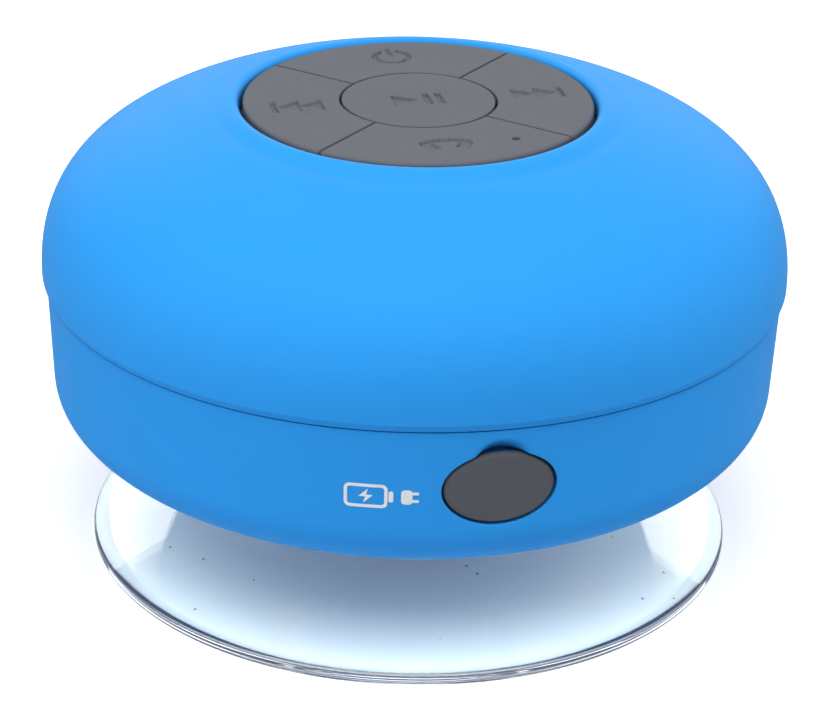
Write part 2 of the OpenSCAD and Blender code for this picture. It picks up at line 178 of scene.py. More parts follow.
def evenly(points, count):
    """A polyline's shape as count evenly spaced points."""
    steps = np.linalg.norm(np.diff(points, axis=0), axis=1)
    length = np.concatenate([[0], np.cumsum(steps)])
    places = np.linspace(0, length[-1], count)
    return np.stack([np.interp(places, length, points[:, k]) for k in range(points.shape[1])], 1)


def rounded(corners, steps=4):
    """A polyline through corners (x, y) or (x, y, radius), each with a radius turned by an arc."""
    out = []
    for i, corner in enumerate(corners):
        here = np.array(corner[:2], float)
        if len(corner) == 2:
            out.append(here)
            continue
        back = np.array(corners[i - 1][:2]) - here
        ahead = np.array(corners[i + 1][:2]) - here
        back, ahead = back / np.linalg.norm(back), ahead / np.linalg.norm(ahead)
        half = math.acos(np.clip(back @ ahead, -1, 1)) / 2
        middle = (back + ahead) / np.linalg.norm(back + ahead)
        centre = here + middle * corner[2] / math.sin(half)
        start = here + back * corner[2] / math.tan(half) - centre
        end = here + ahead * corner[2] / math.tan(half) - centre
        turn = math.atan2(start[0] * end[1] - start[1] * end[0], start @ end)
        for k in range(steps + 1):
            c, s = math.cos(turn * k / steps), math.sin(turn * k / steps)
            out.append(centre + (start[0] * c - start[1] * s, start[0] * s + start[1] * c))
    return np.array(out)


def box_outline(width, height, radius):
    """A closed rectangle with round corners, anticlockwise from its +x side."""
    c, s = np.cos(OUTLINE_TURN), np.sin(OUTLINE_TURN)
    x = np.sign(np.round(c, 9)) * (width / 2 - radius) + radius * c
    y = np.sign(np.round(s, 9)) * (height / 2 - radius) + radius * s
    return np.stack([x, y], 1)


def oval_outline(width, height):
    """A closed ellipse, anticlockwise from its +x end."""
    return np.stack([width / 2 * np.cos(OUTLINE_TURN), height / 2 * np.sin(OUTLINE_TURN)], 1)


def run_of(radii, heights):
    """Rows of (radius, height), at one height or at a height for each radius."""
    return np.stack([radii, heights + 0 * radii], 1)


def along(outline, share):
    """Points at shares of a closed outline's length."""
    closed = np.vstack([outline, outline[:1]])
    steps = np.linalg.norm(np.diff(closed, axis=0), axis=1)
    length = np.concatenate([[0], np.cumsum(steps)])
    places = np.asarray(share) * length[-1]
    return np.stack([np.interp(places, length, closed[:, k]) for k in range(2)], 1)


def graded(low, high, step, *extra):
    """Sorted places from low to high at a step, with extra places added."""
    base = np.linspace(low, high, int(round((high - low) / step)) + 1)
    return np.unique(np.round(np.concatenate([base, *extra]), 3))


def ease(low, high, x):
    """0 below low, 1 above high, and a smooth climb between them."""
    t = np.clip((x - low) / (high - low), 0, 1)
    return t * t * (3 - 2 * t)


def edge_drop(distance, radius):
    """How far a rounded edge falls away at a distance in from it."""
    inside = np.clip(radius - distance, 0, radius)
    return radius - np.sqrt(radius ** 2 - inside ** 2)


# ---- Meshes ----

class Skin:
    """Collects points in millimetres and the faces between them."""

    def __init__(self):
        self.points = []
        self.faces = []
        self.count = 0

    def add(self, points):
        """Adds points and returns their indices."""
        points = np.asarray(points, float).reshape(-1, 3)
        first = self.count
        self.points.append(points)
        self.count += len(points)
        return np.arange(first, self.count)

    def at(self, ids):
        """The points with these indices."""
        return np.vstack(self.points)[ids]

    def band(self, a, b):
        """Joins two closed loops of equal length."""
        quads = np.stack([a, np.roll(a, -1), np.roll(b, -1), b], 1)
        self.faces.extend(quads.tolist())

    def cap(self, loop):
        """Closes a flat loop with one face."""
        self.faces.append([int(i) for i in loop])

    def hub(self, loop):
        """Closes a round loop with triangles to its centre."""
        tip = self.add(self.at(loop).mean(0))[0]
        self.faces.extend(np.stack([loop, np.roll(loop, -1), np.full(len(loop), tip)], 1).tolist())

    def sheet(self, ids, keep=None, wrap=False):
        """Faces over a grid of indices, leaving out those where keep is false."""
        left = ids if wrap else ids[:, :-1]
        right = np.roll(ids, -1, 1) if wrap else ids[:, 1:]
        quads = np.stack([left[:-1], right[:-1], right[1:], left[1:]], -1)
        quads = quads.reshape(-1, 4) if keep is None else quads[keep]
        self.faces.extend(quads.tolist())

    def turn(self, rows, columns, centre=(0, 0), windows=()):
        """Turns rows of (radius, height) about an upright axis, with windows left open."""
        rows = np.asarray(rows, float)
        angle = TAU * np.arange(columns) / columns
        ring = np.stack([centre[0] + rows[:, :1] * np.cos(angle),
                         centre[1] + rows[:, :1] * np.sin(angle),
                         rows[:, 1:] + 0 * angle], -1)
        ids = self.add(ring).reshape(len(rows), columns)
        keep = np.ones((len(rows) - 1, columns), bool)
        for first, last, across in windows:
            keep[first:last, across[:-1]] = False
        self.sheet(ids, keep, wrap=True)
        return ids

    def spindle(self, rows, columns, centre=(0, 0)):
        """A turned solid whose outline starts and ends beside the axis."""
        ids = self.turn(rows, columns, centre)
        self.hub(ids[0])
        self.hub(ids[-1])

    def tube(self, loops):
        """Joins loops one after another and closes both ends."""
        for a, b in zip(loops, loops[1:]):
            self.band(a, b)
        self.cap(loops[0])
        self.cap(loops[-1])

    def piece(self, name, look, stands_for=(), body="casing", crease=35):
        """Makes the mesh an object with a look, that rides on a CAD body."""
        mesh = bpy.data.meshes.new(name)
        mesh.from_pydata((np.vstack(self.points) * MM).tolist(), [], self.faces)
        work = bmesh.new()
        work.from_mesh(mesh)
        bmesh.ops.recalc_face_normals(work, faces=work.faces)
        work.to_mesh(mesh)
        work.free()
        mesh.shade_smooth()
        mesh.set_sharp_from_angle(angle=math.radians(crease))
        mesh.materials.append(LOOKS[look])
        made = bpy.data.objects.new(name, mesh)
        bpy.context.scene.collection.objects.link(made)
        if stands_for:
            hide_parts(*stands_for)
        if body:
            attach(made, body)
        return made


def rim(ids, window):
    """The closed loop of indices round a window in a turned sheet."""
    first, last, across = window
    low, high = ids[first, across], ids[last, across]
    left, right = ids[first:last + 1, across[0]], ids[first:last + 1, across[-1]]
    return np.concatenate([low[:-1], right[:-1], high[:0:-1], left[:0:-1]])


def whole(ids):
    """The closed loop round the edge of an open sheet."""
    return rim(ids, (0, ids.shape[0] - 1, np.arange(ids.shape[1])))


def window_at(rows, column, half_width):
    """A window over a run of rows, centred on a column."""
    across = (column + np.arange(-half_width, half_width + 1)) % COLUMNS
    return rows[0], rows[1], across


def funnel(skin, ids, window, flatten, surface, steps, rings):
    """Faces from a window's rim over the surface to the first step's outline, then from step
    to step. Each step is (outline, place), where place takes flat points into space."""
    loop = rim(ids, window)
    flat = flatten(skin.at(loop))
    ahead = np.roll(flat, -1, 0)
    if (flat[:, 0] * ahead[:, 1] - ahead[:, 0] * flat[:, 1]).sum() < 0:
        loop, flat = loop[::-1], flat[::-1]
    start = np.argmin(np.abs(np.arctan2(flat[:, 1], flat[:, 0])))
    loop, flat = np.roll(loop, -start), np.roll(flat, -start, 0)
    gaps = np.linalg.norm(np.roll(flat, -1, 0) - flat, axis=1)
    share = np.concatenate([[0], np.cumsum(gaps)[:-1]]) / gaps.sum()
    target = along(steps[0][0], share)
    for k in range(1, rings):
        ring = skin.add(surface(flat + (target - flat) * k / rings))
        skin.band(loop, ring)
        loop = ring
    for outline, place in steps:
        ring = skin.add(place(along(outline, share)))
        skin.band(loop, ring)
        loop = ring
    return loop


# ---- Casing ----

HEEL = bezier(HEEL_CURVE, np.linspace(0, 1, 200))


def heel_radius(z, depth=0):
    """Radius of the lower wall, or of its inner face, at a height."""
    wall_top = TONGUE_IN if depth else SHOULDER_R
    line = np.vstack([[wall_top, SEAM_Z], inset(HEEL, depth)])[::-1]
    return np.interp(z, line[:, 1], line[:, 0])


def floor_height(radius, depth=0):
    """Height of the underside, or of the floor's upper face, at a radius."""
    heel = inset(HEEL, depth)[::-1]
    return np.interp(radius, heel[:, 0], heel[:, 1])


def scoop_depth(x, z):
    """Depth of the fingernail scoop above the port plug."""
    ball_r, ball_out, ball_z = 3.45, 1.6, PORT_Z + PLUG_H / 2 - 1.4
    reach = np.sqrt(np.clip(ball_r ** 2 - x ** 2 - (z - ball_z) ** 2, 0, None)) - ball_out
    soft = 0.06
    return np.where(reach > -3, (reach + np.sqrt(reach ** 2 + soft)) / 2, 0) * (reach > -1.2)


def on_wall(depth=0.0):
    """Takes flat (x, height above the port) points to the wall, sunk by a depth."""
    def place(flat):
        x, z = flat[:, 0], flat[:, 1] + PORT_Z
        scoop = np.minimum(scoop_depth(x, z), RECESS)
        sunk = scoop + depth * (1 - scoop / RECESS)
        return np.stack([x, -np.sqrt((heel_radius(z) - sunk) ** 2 - x ** 2), z], 1)
    return place


def in_wall(flat):
    """Takes flat points to the inner face of the lower wall."""
    x, z = flat[:, 0], flat[:, 1] + PORT_Z
    return np.stack([x, -np.sqrt(heel_radius(z, WALL) ** 2 - x ** 2), z], 1)


def at_y(y):
    """Takes flat points to an upright plane."""
    return lambda flat: np.stack([flat[:, 0], np.full(len(flat), y), flat[:, 1] + PORT_Z], 1)


class Spoke:
    """A flat chart of the floor round a point on a spoke."""

    def __init__(self, angle, distance):
        self.c, self.s = math.cos(angle), math.sin(angle)
        self.distance = distance

    def flatten(self, points):
        """Takes points in space to the chart."""
        return np.stack([points[:, 0] * self.c + points[:, 1] * self.s - self.distance,
                         points[:, 1] * self.c - points[:, 0] * self.s], 1)

    def on(self, height, lift=0):
        """Takes flat points to a height, fixed or a function of the radius, and lifts them."""
        def place(flat):
            x, y = flat[:, 0] + self.distance, flat[:, 1]
            z = height(np.hypot(x, y)) if callable(height) else np.full(len(x), height)
            return np.stack([x * self.c - y * self.s, x * self.s + y * self.c, z + lift], 1)
        return place

    def discs(self, *steps):
        """Round steps for a funnel, each (radius, height) or (radius, height, lift)."""
        return [(oval_outline(2 * radius, 2 * radius), self.on(*height)) for radius, *height in steps]


def pierce(skin, ids, windows, flatten, front, back, rings):
    """An opening through a wall. Each side is the surface it starts on and its steps."""
    skin.band(*[funnel(skin, ids, window, flatten, *side, count)
                for window, side, count in zip(windows, (front, back), rings)])


def port_opening(skin, ids, windows):
    """The port recess with its rounded edge, and the opening through the pad behind it."""
    lip, foot = 0.15, 0.25
    socket, bevel = box_outline(*SOCKET_SIZE), box_outline(8.5, 3.5, 0.8)

    def oval(grow):
        return oval_outline(PLUG_W + 2 * PLUG_GAP + grow, PLUG_H + 2 * PLUG_GAP + grow)

    front = [(oval(2 * lip * (1 - math.sin(a))), on_wall(lip * (1 - math.cos(a))))
             for a in np.linspace(0, math.pi / 2, 6)]
    front += [(oval(-2 * foot * (1 - math.cos(a))), on_wall(RECESS - foot * (1 - math.sin(a))))
              for a in np.linspace(0, math.pi / 2, 4)]
    edge = oval(-2 * foot)
    front += [(edge + (bevel - edge) * k, on_wall(RECESS)) for k in (0.4, 0.8, 1)]
    front.append((socket, on_wall(RECESS + 0.15)))
    pad = box_outline(18, 10.8, 0.8)
    back = [(pad, in_wall), (pad, at_y(PAD_Y - 0.3)),
            (box_outline(17.4, 10.2, 0.6), at_y(PAD_Y)), (socket, at_y(PAD_Y))]
    pierce(skin, ids, windows, lambda points: points[:, [0, 2]] - (0, PORT_Z),
           (on_wall(), front), (in_wall, back), (12, 2))


def screw_well(skin, ids, windows, angle):
    """A counterbored screw hole from the underside, and the raised well round it inside."""
    head_r, hole_r, well_r, edge = 2.5, 1.3, 3.4, 0.3
    at = Spoke(angle, BOSS_AT)

    def over(radius):
        return floor_height(radius, WALL)

    front = at.discs((head_r + edge, floor_height), (head_r + edge * 0.3, floor_height, edge * 0.3),
                     (head_r, floor_height, edge), (head_r, FLOOR_Z + 1.7),
                     (head_r, SCREW_SEAT - 0.1), (head_r - 0.1, SCREW_SEAT),
                     (hole_r + 0.1, SCREW_SEAT), (hole_r, SCREW_SEAT + 0.1))
    back = at.discs((well_r + 0.5, over), (well_r + 0.1, over, 0.25), (well_r, BOSS_FOOT - 1.6),
                    (well_r, BOSS_FOOT - 0.25), (well_r - 0.25, BOSS_FOOT),
                    (hole_r + 0.2, BOSS_FOOT), (hole_r, BOSS_FOOT - 0.2))
    pierce(skin, ids, windows, at.flatten, (at.on(floor_height), front), (at.on(over), back), (4, 4))


def sound_slot(skin, ids, windows, angle):
    """One round-ended slot through the floor, with softened edges."""
    middle, length, width, edge = 14.6, 9.2, 1.6, 0.2
    at = Spoke(angle, middle)

    def outline(grow):
        return box_outline(length + grow, width + grow, (width + grow) / 2 - 0.001)

    under, over = at.on(FLOOR_Z), at.on(FLOOR_TOP)
    front = [(outline(2 * edge), under), (outline(0.6 * edge), at.on(FLOOR_Z, 0.3 * edge)),
             (outline(0), at.on(FLOOR_Z, edge))]
    back = [(outline(2 * edge), over), (outline(0), at.on(FLOOR_TOP, -edge))]
    pierce(skin, ids, windows, at.flatten, (under, front), (over, back), (3, 3))


def lower_casing():
    """Lower shell: floor with sound slots and screw wells, wall with the port, and tongue."""
    tongue_out = BODY_R - 2.2
    groove_in, groove_low, groove_high = tongue_out - 0.7, TONGUE_Z - 1.7, TONGUE_Z - 0.5
    slots = np.linspace(9.4, 19.5, 17)
    wells = np.linspace(27.8, 36.2, 13)
    port = np.linspace(20.4, 32.6, 21)
    low_heel, low_heel_in = [run[(run[:, 0] > wells[-1] + 0.2) & (run[:, 1] < port[0] - 0.2)]
                             for run in (HEEL, inset(HEEL, WALL))]
    rib_in, rib_out, rib_top = 19.8, 22.3, FLOOR_TOP + 1.2
    runs = {
        "socket": rounded([(0.5, SOCKET_TOP), (SOCKET_R, SOCKET_TOP, 0.3),
                           (SOCKET_R, SOCKET_Z, 0.2), (BORE_R, SOCKET_Z, 0.2),
                           (BORE_R, FLOOR_Z, 0.3), (8.6, FLOOR_Z)], 2),
        "slots_under": run_of(slots, FLOOR_Z),
        "underside": run_of(np.linspace(20.5, 26.9, 4), FLOOR_Z),
        "wells_under": run_of(wells, floor_height(wells)),
        "heel": evenly(low_heel[::-1], 16),
        "port_out": run_of(heel_radius(port), port),
        "shoulder": rounded([(heel_radius(32.8), 32.8), (SHOULDER_R, SHOULDER_Z, 0.25),
                             (tongue_out, SHOULDER_Z, 0.1), (tongue_out, groove_low, 0.1),
                             (groove_in, groove_low, 0.1), (groove_in, groove_high, 0.1),
                             (tongue_out, groove_high, 0.1), (tongue_out, TONGUE_Z, 0.2),
                             (TONGUE_IN, TONGUE_Z, 0.2), (TONGUE_IN, 33)], 2),
        "port_in": run_of(heel_radius(port, WALL), port)[::-1],
        "heel_in": evenly(low_heel_in, 8),
        "wells_in": run_of(wells, floor_height(wells, WALL))[::-1],
        "rib": rounded([(26.5, FLOOR_TOP), (rib_out, FLOOR_TOP, 0.2), (rib_out, rib_top, 0.2),
                        (rib_in, rib_top, 0.2), (rib_in, FLOOR_TOP + 0.1)], 2),
        "slots_in": run_of(slots, FLOOR_TOP)[::-1],
        "hub": rounded([(9.2, FLOOR_TOP), (HUB_R, FLOOR_TOP + 0.2), (HUB_R, HUB_TOP, 0.5),
                        (0.5, HUB_TOP)]),
    }
    rows, first = {}, 0
    for name, run in runs.items():
        rows[name] = (first, first + len(run) - 1)
        first += len(run)

    def windows(run, column, half_width):
        """The windows on both sides of the shell, over the runs with this name."""
        return [window_at(rows[n], column, half_width) for n in run]

    ports = windows(("port_out", "port_in"), COLUMNS * 3 // 4, 18)
    wells_at = [windows(("wells_under", "wells_in"), COLUMNS // 8 * (1 + 2 * k), 12) for k in range(4)]
    slots_at = [windows(("slots_under", "slots_in"), COLUMNS // 16 * k, 11) for k in range(16)]
    skin = Skin()
    openings = ports + [w for pair in wells_at + slots_at for w in pair]
    ids = skin.turn(np.vstack(list(runs.values())), COLUMNS, windows=openings)
    skin.hub(ids[0])
    skin.hub(ids[-1])
    port_opening(skin, ids, ports)
    for k, pair in enumerate(wells_at):
        screw_well(skin, ids, pair, TAU * (1 + 2 * k) / 8)
    for k, pair in enumerate(slots_at):
        sound_slot(skin, ids, pair, TAU * k / 16)
    skin.piece("casing_bottom", "casing_blue", ["lower_shell"])


def top_casing():
    """Domed upper shell, with a rounded opening, a soft crease and a lip over the seam."""
    dome = bezier(DOME_CURVE, np.linspace(0.055, 1, 400))
    crease = 0.3 * np.exp(-((dome[:, 0] - CREASE_R) / 1.0) ** 2)
    dome[:, 1] -= crease
    near = evenly(dome[dome[:, 0] < 27], 40)
    far = evenly(dome[dome[:, 0] >= 27.2], 60)
    inner = inset(bezier(DOME_CURVE, np.linspace(0.2, 0.98, 200)), WALL)[::-1]
    opening = rounded([(OPENING_R, LAND_Z + 0.1), (OPENING_R, RIM_Z, 0.9), tuple(near[0])], 6)
    lip = rounded([(BODY_R, SEAM_Z + 1.3), (BODY_R, SEAM_Z + 0.85, 0.3), (BODY_R - 0.44, SEAM_Z, 0.08),
                   (BODY_R - WALL, SEAM_Z, 0.15), (BODY_R - WALL, SEAM_Z + 1.4)], 6)
    land = [(OPENING_R + 2.4, LAND_Z), (OPENING_R + 0.1, LAND_Z)]
    rows = np.vstack([opening[:-1], near, far[:-1], lip, evenly(inner, 30), land])
    ring_piece("casing_top", "casing_blue", "top_shell", rows, COLUMNS)


def post(skin, at, radius, bore, foot, top, depth):
    """An upright post with a flared foot and a blind screw hole in its top."""
    rows = rounded([(0.3, foot), (radius + 0.5, foot), (radius, foot + 0.9, 0.5),
                    (radius, top, 0.15), (bore, top, 0.15), (bore, top - depth), (0.3, top - depth)])
    skin.spindle(rows, 40, at)


def around(distance, first=0.0):
    """Four evenly spaced places on a circle, from an angle in degrees."""
    for k in range(4):
        a = math.radians(first + 90 * k)
        yield distance * math.cos(a), distance * math.sin(a)


def casing_posts():
    """Posts that stand on the casing floor for the driver's and the main board's screws."""
    skin = Skin()
    for at in around(span("speaker_screws")[1][0] - 2.6):
        post(skin, at, 2, PILOT_R, FLOOR_TOP - 0.3, span("speaker_basket")[0][2] + 0.8, 2.6)
    for side in (-1, 1):
        post(skin, (10 * side, -31), 2.2, PILOT_R, FLOOR_TOP - 0.3, span("main_board")[0][2], 5.5)
    skin.piece("casing_posts", "casing_blue")


def dome_fittings():
    """Screw bosses under the dome, each tied to the wall by a rib, and key board bosses."""
    skin = Skin()
    roof = inset(bezier(DOME_CURVE, np.linspace(0, 1, 200)), WALL / 2)

    def roof_at(radius):
        return np.interp(radius, roof[:, 0], roof[:, 1])

    for at in around(BOSS_AT, 45):
        rows = rounded([(1.05, BOSS_FOOT + 8), (1.05, BOSS_FOOT, 0.1), (2.6, BOSS_FOOT, 0.3),
                        (2.6, roof_at(BOSS_AT + 3)), (0.3, roof_at(BOSS_AT + 3))])
        skin.spindle(np.vstack([[0.3, BOSS_FOOT + 8], rows]), 40, at)
    for at in around(BOARD_BOSS_AT):
        low = span("key_board")[1][2]
        rows = rounded([(PILOT_R, low + 2.2), (PILOT_R, low, 0.1), (2.2, low, 0.25),
                        (2.2, roof_at(28)), (0.3, roof_at(28))])
        skin.spindle(np.vstack([[0.3, low + 2.2], rows]), 40, at)
    reach = np.linspace(BOSS_AT + 2.2, BOSS_AT + 8.3, 12)
    side = np.vstack([[reach[0], TONGUE_Z + 1], np.stack([reach, roof_at(reach)], 1),
                      [reach[-1], TONGUE_Z + 1]])
    for quarter in range(4):
        a = math.radians(45 + 90 * quarter)
        loops = []
        for off in (-0.6, 0.6):
            x = side[:, 0] * math.cos(a) - off * math.sin(a)
            y = side[:, 0] * math.sin(a) + off * math.cos(a)
            loops.append(skin.add(np.stack([x, y, side[:, 1]], 1)))
        skin.tube(loops)
    skin.piece("dome_fittings", "casing_blue")


# ---- Keypad ----

def box_field(x, y, cx, cy, width, height):
    """Distance outside a box, negative inside it."""
    return np.maximum(np.abs(x - cx) - width / 2, np.abs(y - cy) - height / 2)


def wedge_field(x, y, base, length, height):
    """Distance outside a triangle that points along +x from its base."""
    slant = (np.abs(y) - height / 2 * (1 - (x - base) / length)) / math.hypot(1, height / 2 / length)
    return np.maximum(slant, base - x)


def play_field(x, y):
    """Play triangle and pause bars."""
    bars = [box_field(x, y, cx, 0, 0.7, 3.2) for cx in (1.05, 2.45)]
    return np.minimum.reduce([wedge_field(x, y, -2.9, 2.8, 3.2), *bars])


def skip_field(x, y):
    """Two triangles and an end bar, pointing along +x."""
    wedges = [wedge_field(x, y, base, 2.5, 3.2) for base in (-3, -0.4)]
    return np.minimum.reduce([*wedges, box_field(x, y, 2.6, 0, 0.6, 3.2)])


def power_field(x, y):
    """Broken ring and upright bar."""
    r = np.hypot(x, y)
    ring = np.maximum.reduce([r - 2.3, 1.7 - r, -box_field(x, y, 0, 2.1, 1.8, 3)])
    return np.minimum(ring, box_field(x, y, 0, 1.6, 0.6, 2.4))


def call_field(x, y):
    """Handset: an arched grip with a lobe at each end."""
    r = np.hypot(x, y + 4.2)
    grip = np.maximum.reduce([r - 5.3, 4.4 - r, np.abs(x) - 2.9])
    lobes = [box_field(x * math.cos(t) + y * math.sin(t), y * math.cos(t) - x * math.sin(t),
                       2.1 * side, -0.15, 1.3, 1.7) for side, t in ((-1, 0.45), (1, -0.45))]
    return np.minimum.reduce([grip, *lobes])


def engraving(field):
    """Depth cut by a symbol, with its edges softened."""
    return SYMBOL_DEPTH * ease(0.06, -0.06, field)


def key_cap(name, x, y, drop, plunger_at):
    """A key: a crown over a grid, at a drop below the top, with its sides, foot and plunger."""
    skin = Skin()
    ids = skin.add(np.stack([x, y, KEY_TOP - drop], -1)).reshape(x.shape)
    skin.sheet(ids)
    loop = whole(ids)
    low = skin.at(loop)
    low[:, 2] = KEY_FOOT
    foot = skin.add(low)
    skin.band(loop, foot)
    skin.cap(foot)
    rows = rounded([(0.3, PLUNGER_TIP), (PLUNGER_R, PLUNGER_TIP, 0.25), (PLUNGER_R, KEY_FOOT + 0.2),
                    (0.3, KEY_FOOT + 0.2)])
    skin.spindle(rows, 40, plunger_at)
    skin.piece(name + "_cap", "keypad_grey", ["key_" + name], name + "_key")


def outer_key(name, angle, field, raised, hole=False):
    """One of the four keys round the centre: a rounded cap with an engraved symbol."""
    edge, outer_edge = 0.1, 0.4
    inner = PLAY_R + KEY_GAP
    fine = np.array([0.02, 0.05, 0.09, 0.13, 0.17, 0.24, 0.32])
    rings = [inner + fine, KEY_OUT - fine]
    sweeps = [1 - fine / 9, fine / 9 - 1]
    if hole:
        rings.append(MIC_AT + np.linspace(-0.6, 0.6, 25))
        turn = (MIC_ANGLE - angle + math.pi) % TAU - math.pi
        sweeps.append(turn / (math.pi / 4) + np.linspace(-0.06, 0.06, 29))
    rho, sweep = np.meshgrid(graded(inner, KEY_OUT, 0.14, *rings), graded(-1, 1, 0.0125, *sweeps),
                             indexing="ij")
    half = math.pi / 4 - np.arcsin(KEY_GAP / 2 / rho)
    phi = sweep * half
    side = rho * np.sin(math.pi / 4 - np.abs(phi)) - KEY_GAP / 2
    drop = np.maximum.reduce([edge_drop(rho - inner, edge), edge_drop(side, edge),
                              edge_drop(KEY_OUT - rho, outer_edge)])
    x, y = rho * np.cos(phi + angle), rho * np.sin(phi + angle)
    centre = PLUNGER_AT * math.cos(angle), PLUNGER_AT * math.sin(angle)
    drop += engraving(field(x - centre[0], y - centre[1] - raised))
    if hole:
        away = np.hypot(x - MIC_X, y - MIC_Y)
        drop += 1.3 * ease(0.46, 0.38, away) + 0.08 * ease(0.62, 0.42, away)
    key_cap(name, x, y, drop, centre)


def disc_grid(step, *extra):
    """A square grid folded into a unit disc: x, y and the distance from the middle."""
    line = graded(-1, 1, step, *extra)
    u, v = np.meshgrid(line, line, indexing="ij")
    wide = np.abs(u) > np.abs(v)
    r = np.where(wide, u, v)
    safe = np.where(r == 0, 1, r)
    phi = np.where(wide, math.pi / 4 * v / safe, math.pi / 2 - math.pi / 4 * u / safe)
    return r * np.cos(phi), r * np.sin(phi), np.abs(r)


def play_key():
    """Round centre key."""
    fine = np.array([0.02, 0.05, 0.09, 0.13, 0.17]) / PLAY_R
    x, y, r = disc_grid(0.015, 1 - fine, fine - 1)
    x, y = x * PLAY_R, y * PLAY_R
    drop = edge_drop((1 - r) * PLAY_R, 0.1) + engraving(play_field(x, y))
    key_cap("play", x, y, drop, (0, 0))


def keypad():
    """The five keys."""
    play_key()
    outer_key("next", 0, skip_field, 0)
    outer_key("power", math.pi / 2, power_field, 0.6)
    outer_key("previous", math.pi, lambda x, y: skip_field(-x, y), 0)
    outer_key("call", -math.pi / 2, call_field, 0.4, hole=True)


# ---- Port plug ----

def port_plug():
    """Oval silicone plug that follows the wall, thinned along its fold, with a tab behind it."""
    fine = np.array([0.003, 0.008, 0.015, 0.025, 0.04, 0.06, 0.08])
    dx, dz, r = disc_grid(0.03, 1 - fine, fine - 1)
    x, z = dx * PLUG_W / 2, PORT_Z + dz * PLUG_H / 2
    spread = np.hypot(dx * PLUG_W / 2, dz * PLUG_H / 2) / np.maximum(r, 1e-6)
    bevel = edge_drop((1 - r) * spread, 0.42 + 0.18 * ease(-0.5, 0.4, dz))
    front = -np.sqrt((heel_radius(z) - 0.1) ** 2 - x ** 2) + bevel
    lip_t = 0.8
    thick = ease(FOLD_Z + 0.1, FOLD_Z + 0.9, z) * ease(PLUG_TOP - 0.9, PLUG_TOP - 1.3, z)
    depth = lip_t + (PLUG_T - lip_t) * thick
    back = np.maximum(front + 0.25, -np.sqrt((heel_radius(z) - 0.1 - depth) ** 2 - x ** 2))
    back -= edge_drop((1 - r) * spread, 0.2)
    skin = Skin()
    face = skin.add(np.stack([x, front, z], -1)).reshape(x.shape)
    rear = skin.add(np.stack([x, np.maximum(back, front + 0.1), z], -1)).reshape(x.shape)
    skin.sheet(face)
    skin.sheet(rear)
    skin.band(whole(face), whole(rear))
    share = np.arange(96) / 96
    tab_y = -heel_radius(PORT_Z) + PLUG_T
    loops = [skin.add(at_y(tab_y + y)(along(box_outline(7 - s, 1.6 - s, 0.6 - s / 2), share)))
             for y, s in ((-0.4, 0), (0.7, 0), (0.82, 0.1), (0.9, 0.35))]
    skin.tube(loops)
    skin.piece("port_cover", "plug_grey", ["port_plug"], "plug")


def port_mark():
    """A raised print beside the port: a battery outline with a bolt, and a plug."""
    centre_angle = math.radians(-107)
    middle_z = PORT_Z - 0.7

    def place(points, lift):
        points = np.asarray(points, float)
        z = points[:, 1] + middle_z
        r = heel_radius(z) + lift
        a = centre_angle + points[:, 0] / heel_radius(middle_z)
        return np.stack([r * np.cos(a), r * np.sin(a), z], 1)

    skin = Skin()
    low, high = -0.03, 0.035

    def plate(points):
        skin.tube([skin.add(place(points, low)), skin.add(place(points, high))])

    share = np.arange(80) / 80
    frame_out = along(box_outline(4.6, 2.8, 0.6), share) + (-1.6, 0)
    frame_in = along(box_outline(3.9, 2.1, 0.3), share) + (-1.6, 0)
    loops = [skin.add(place(p, lift)) for p, lift in
             ((frame_in, low), (frame_out, low), (frame_out, high), (frame_in, high))]
    for a, b in zip(loops, loops[1:] + loops[:1]):
        skin.band(a, b)
    plate(along(box_outline(0.5, 1.3, 0.15), share[::4]) + (1.05, 0))
    plate(np.array([(0.25, 0.85), (-0.75, -0.1), (-0.05, -0.1), (-0.25, -0.85),
                    (0.75, 0.1), (0.05, 0.1)]) + (-1.6, 0))
    plate(along(box_outline(1.2, 1.7, 0.4), share[::2]) + (2.7, 0))
    for y in (-0.45, 0.45):
        plate(along(box_outline(0.75, 0.32, 0.1), share[::4]) + (3.6, y))
    skin.piece("port_mark", "port_print", crease=50)


# ---- Suction cup ----

def suction_cup():
    """One clear moulding: stud, neck, domed crown and thin sealing rim."""
    crown = bezier([(CUP_R - 0.4, CUP_EDGE), (CUP_R - 8, 4.6), (22, CUP_BOSS_TOP - 1),
                    (12, CUP_BOSS_TOP)], np.linspace(0.03, 1, 46))
    vault = bezier([(NECK_R + 0.05, 6.8), (21, 6.4), (CUP_R - 9.5, 3), (CUP_R - 2.4, 0)],
                   np.linspace(0.04, 0.985, 46))
    stud = BORE_R - 0.05
    rows = np.vstack([
        [(0.5, NECK_FOOT), (3, NECK_FOOT), (5.5, NECK_FOOT), (NECK_R, NECK_FOOT - 0.05)], vault,
        rounded([(CUP_R - 2.3, 0.03), (CUP_R - 1.4, 0.0), (CUP_R, 0.0, 0.35),
                 (CUP_R, CUP_EDGE, 0.35), tuple(crown[0])], 5),
        crown[1:],
        rounded([(10.5, CUP_BOSS_TOP + 0.02), (NECK_R, CUP_BOSS_TOP, 1.2),
                 (NECK_R, FLOOR_Z - 0.15, 0.4), (stud, FLOOR_Z - 0.15, 0.15),
                 (stud, SOCKET_Z + 0.1, 0.1), (6.8, SOCKET_Z + 0.1, 0.2), (6.8, SOCKET_Z + 1, 0.2),
                 (5, STUD_TOP, 0.3), (0.5, STUD_TOP)]),
    ])
    skin = Skin()
    skin.spindle(rows, 288)
    cup = skin.piece("suction_cup", "cup_clear", ["cup_neck", "cup_skirt"], None, crease=60)
    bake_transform(cup)


# ---- Soft parts inside ----

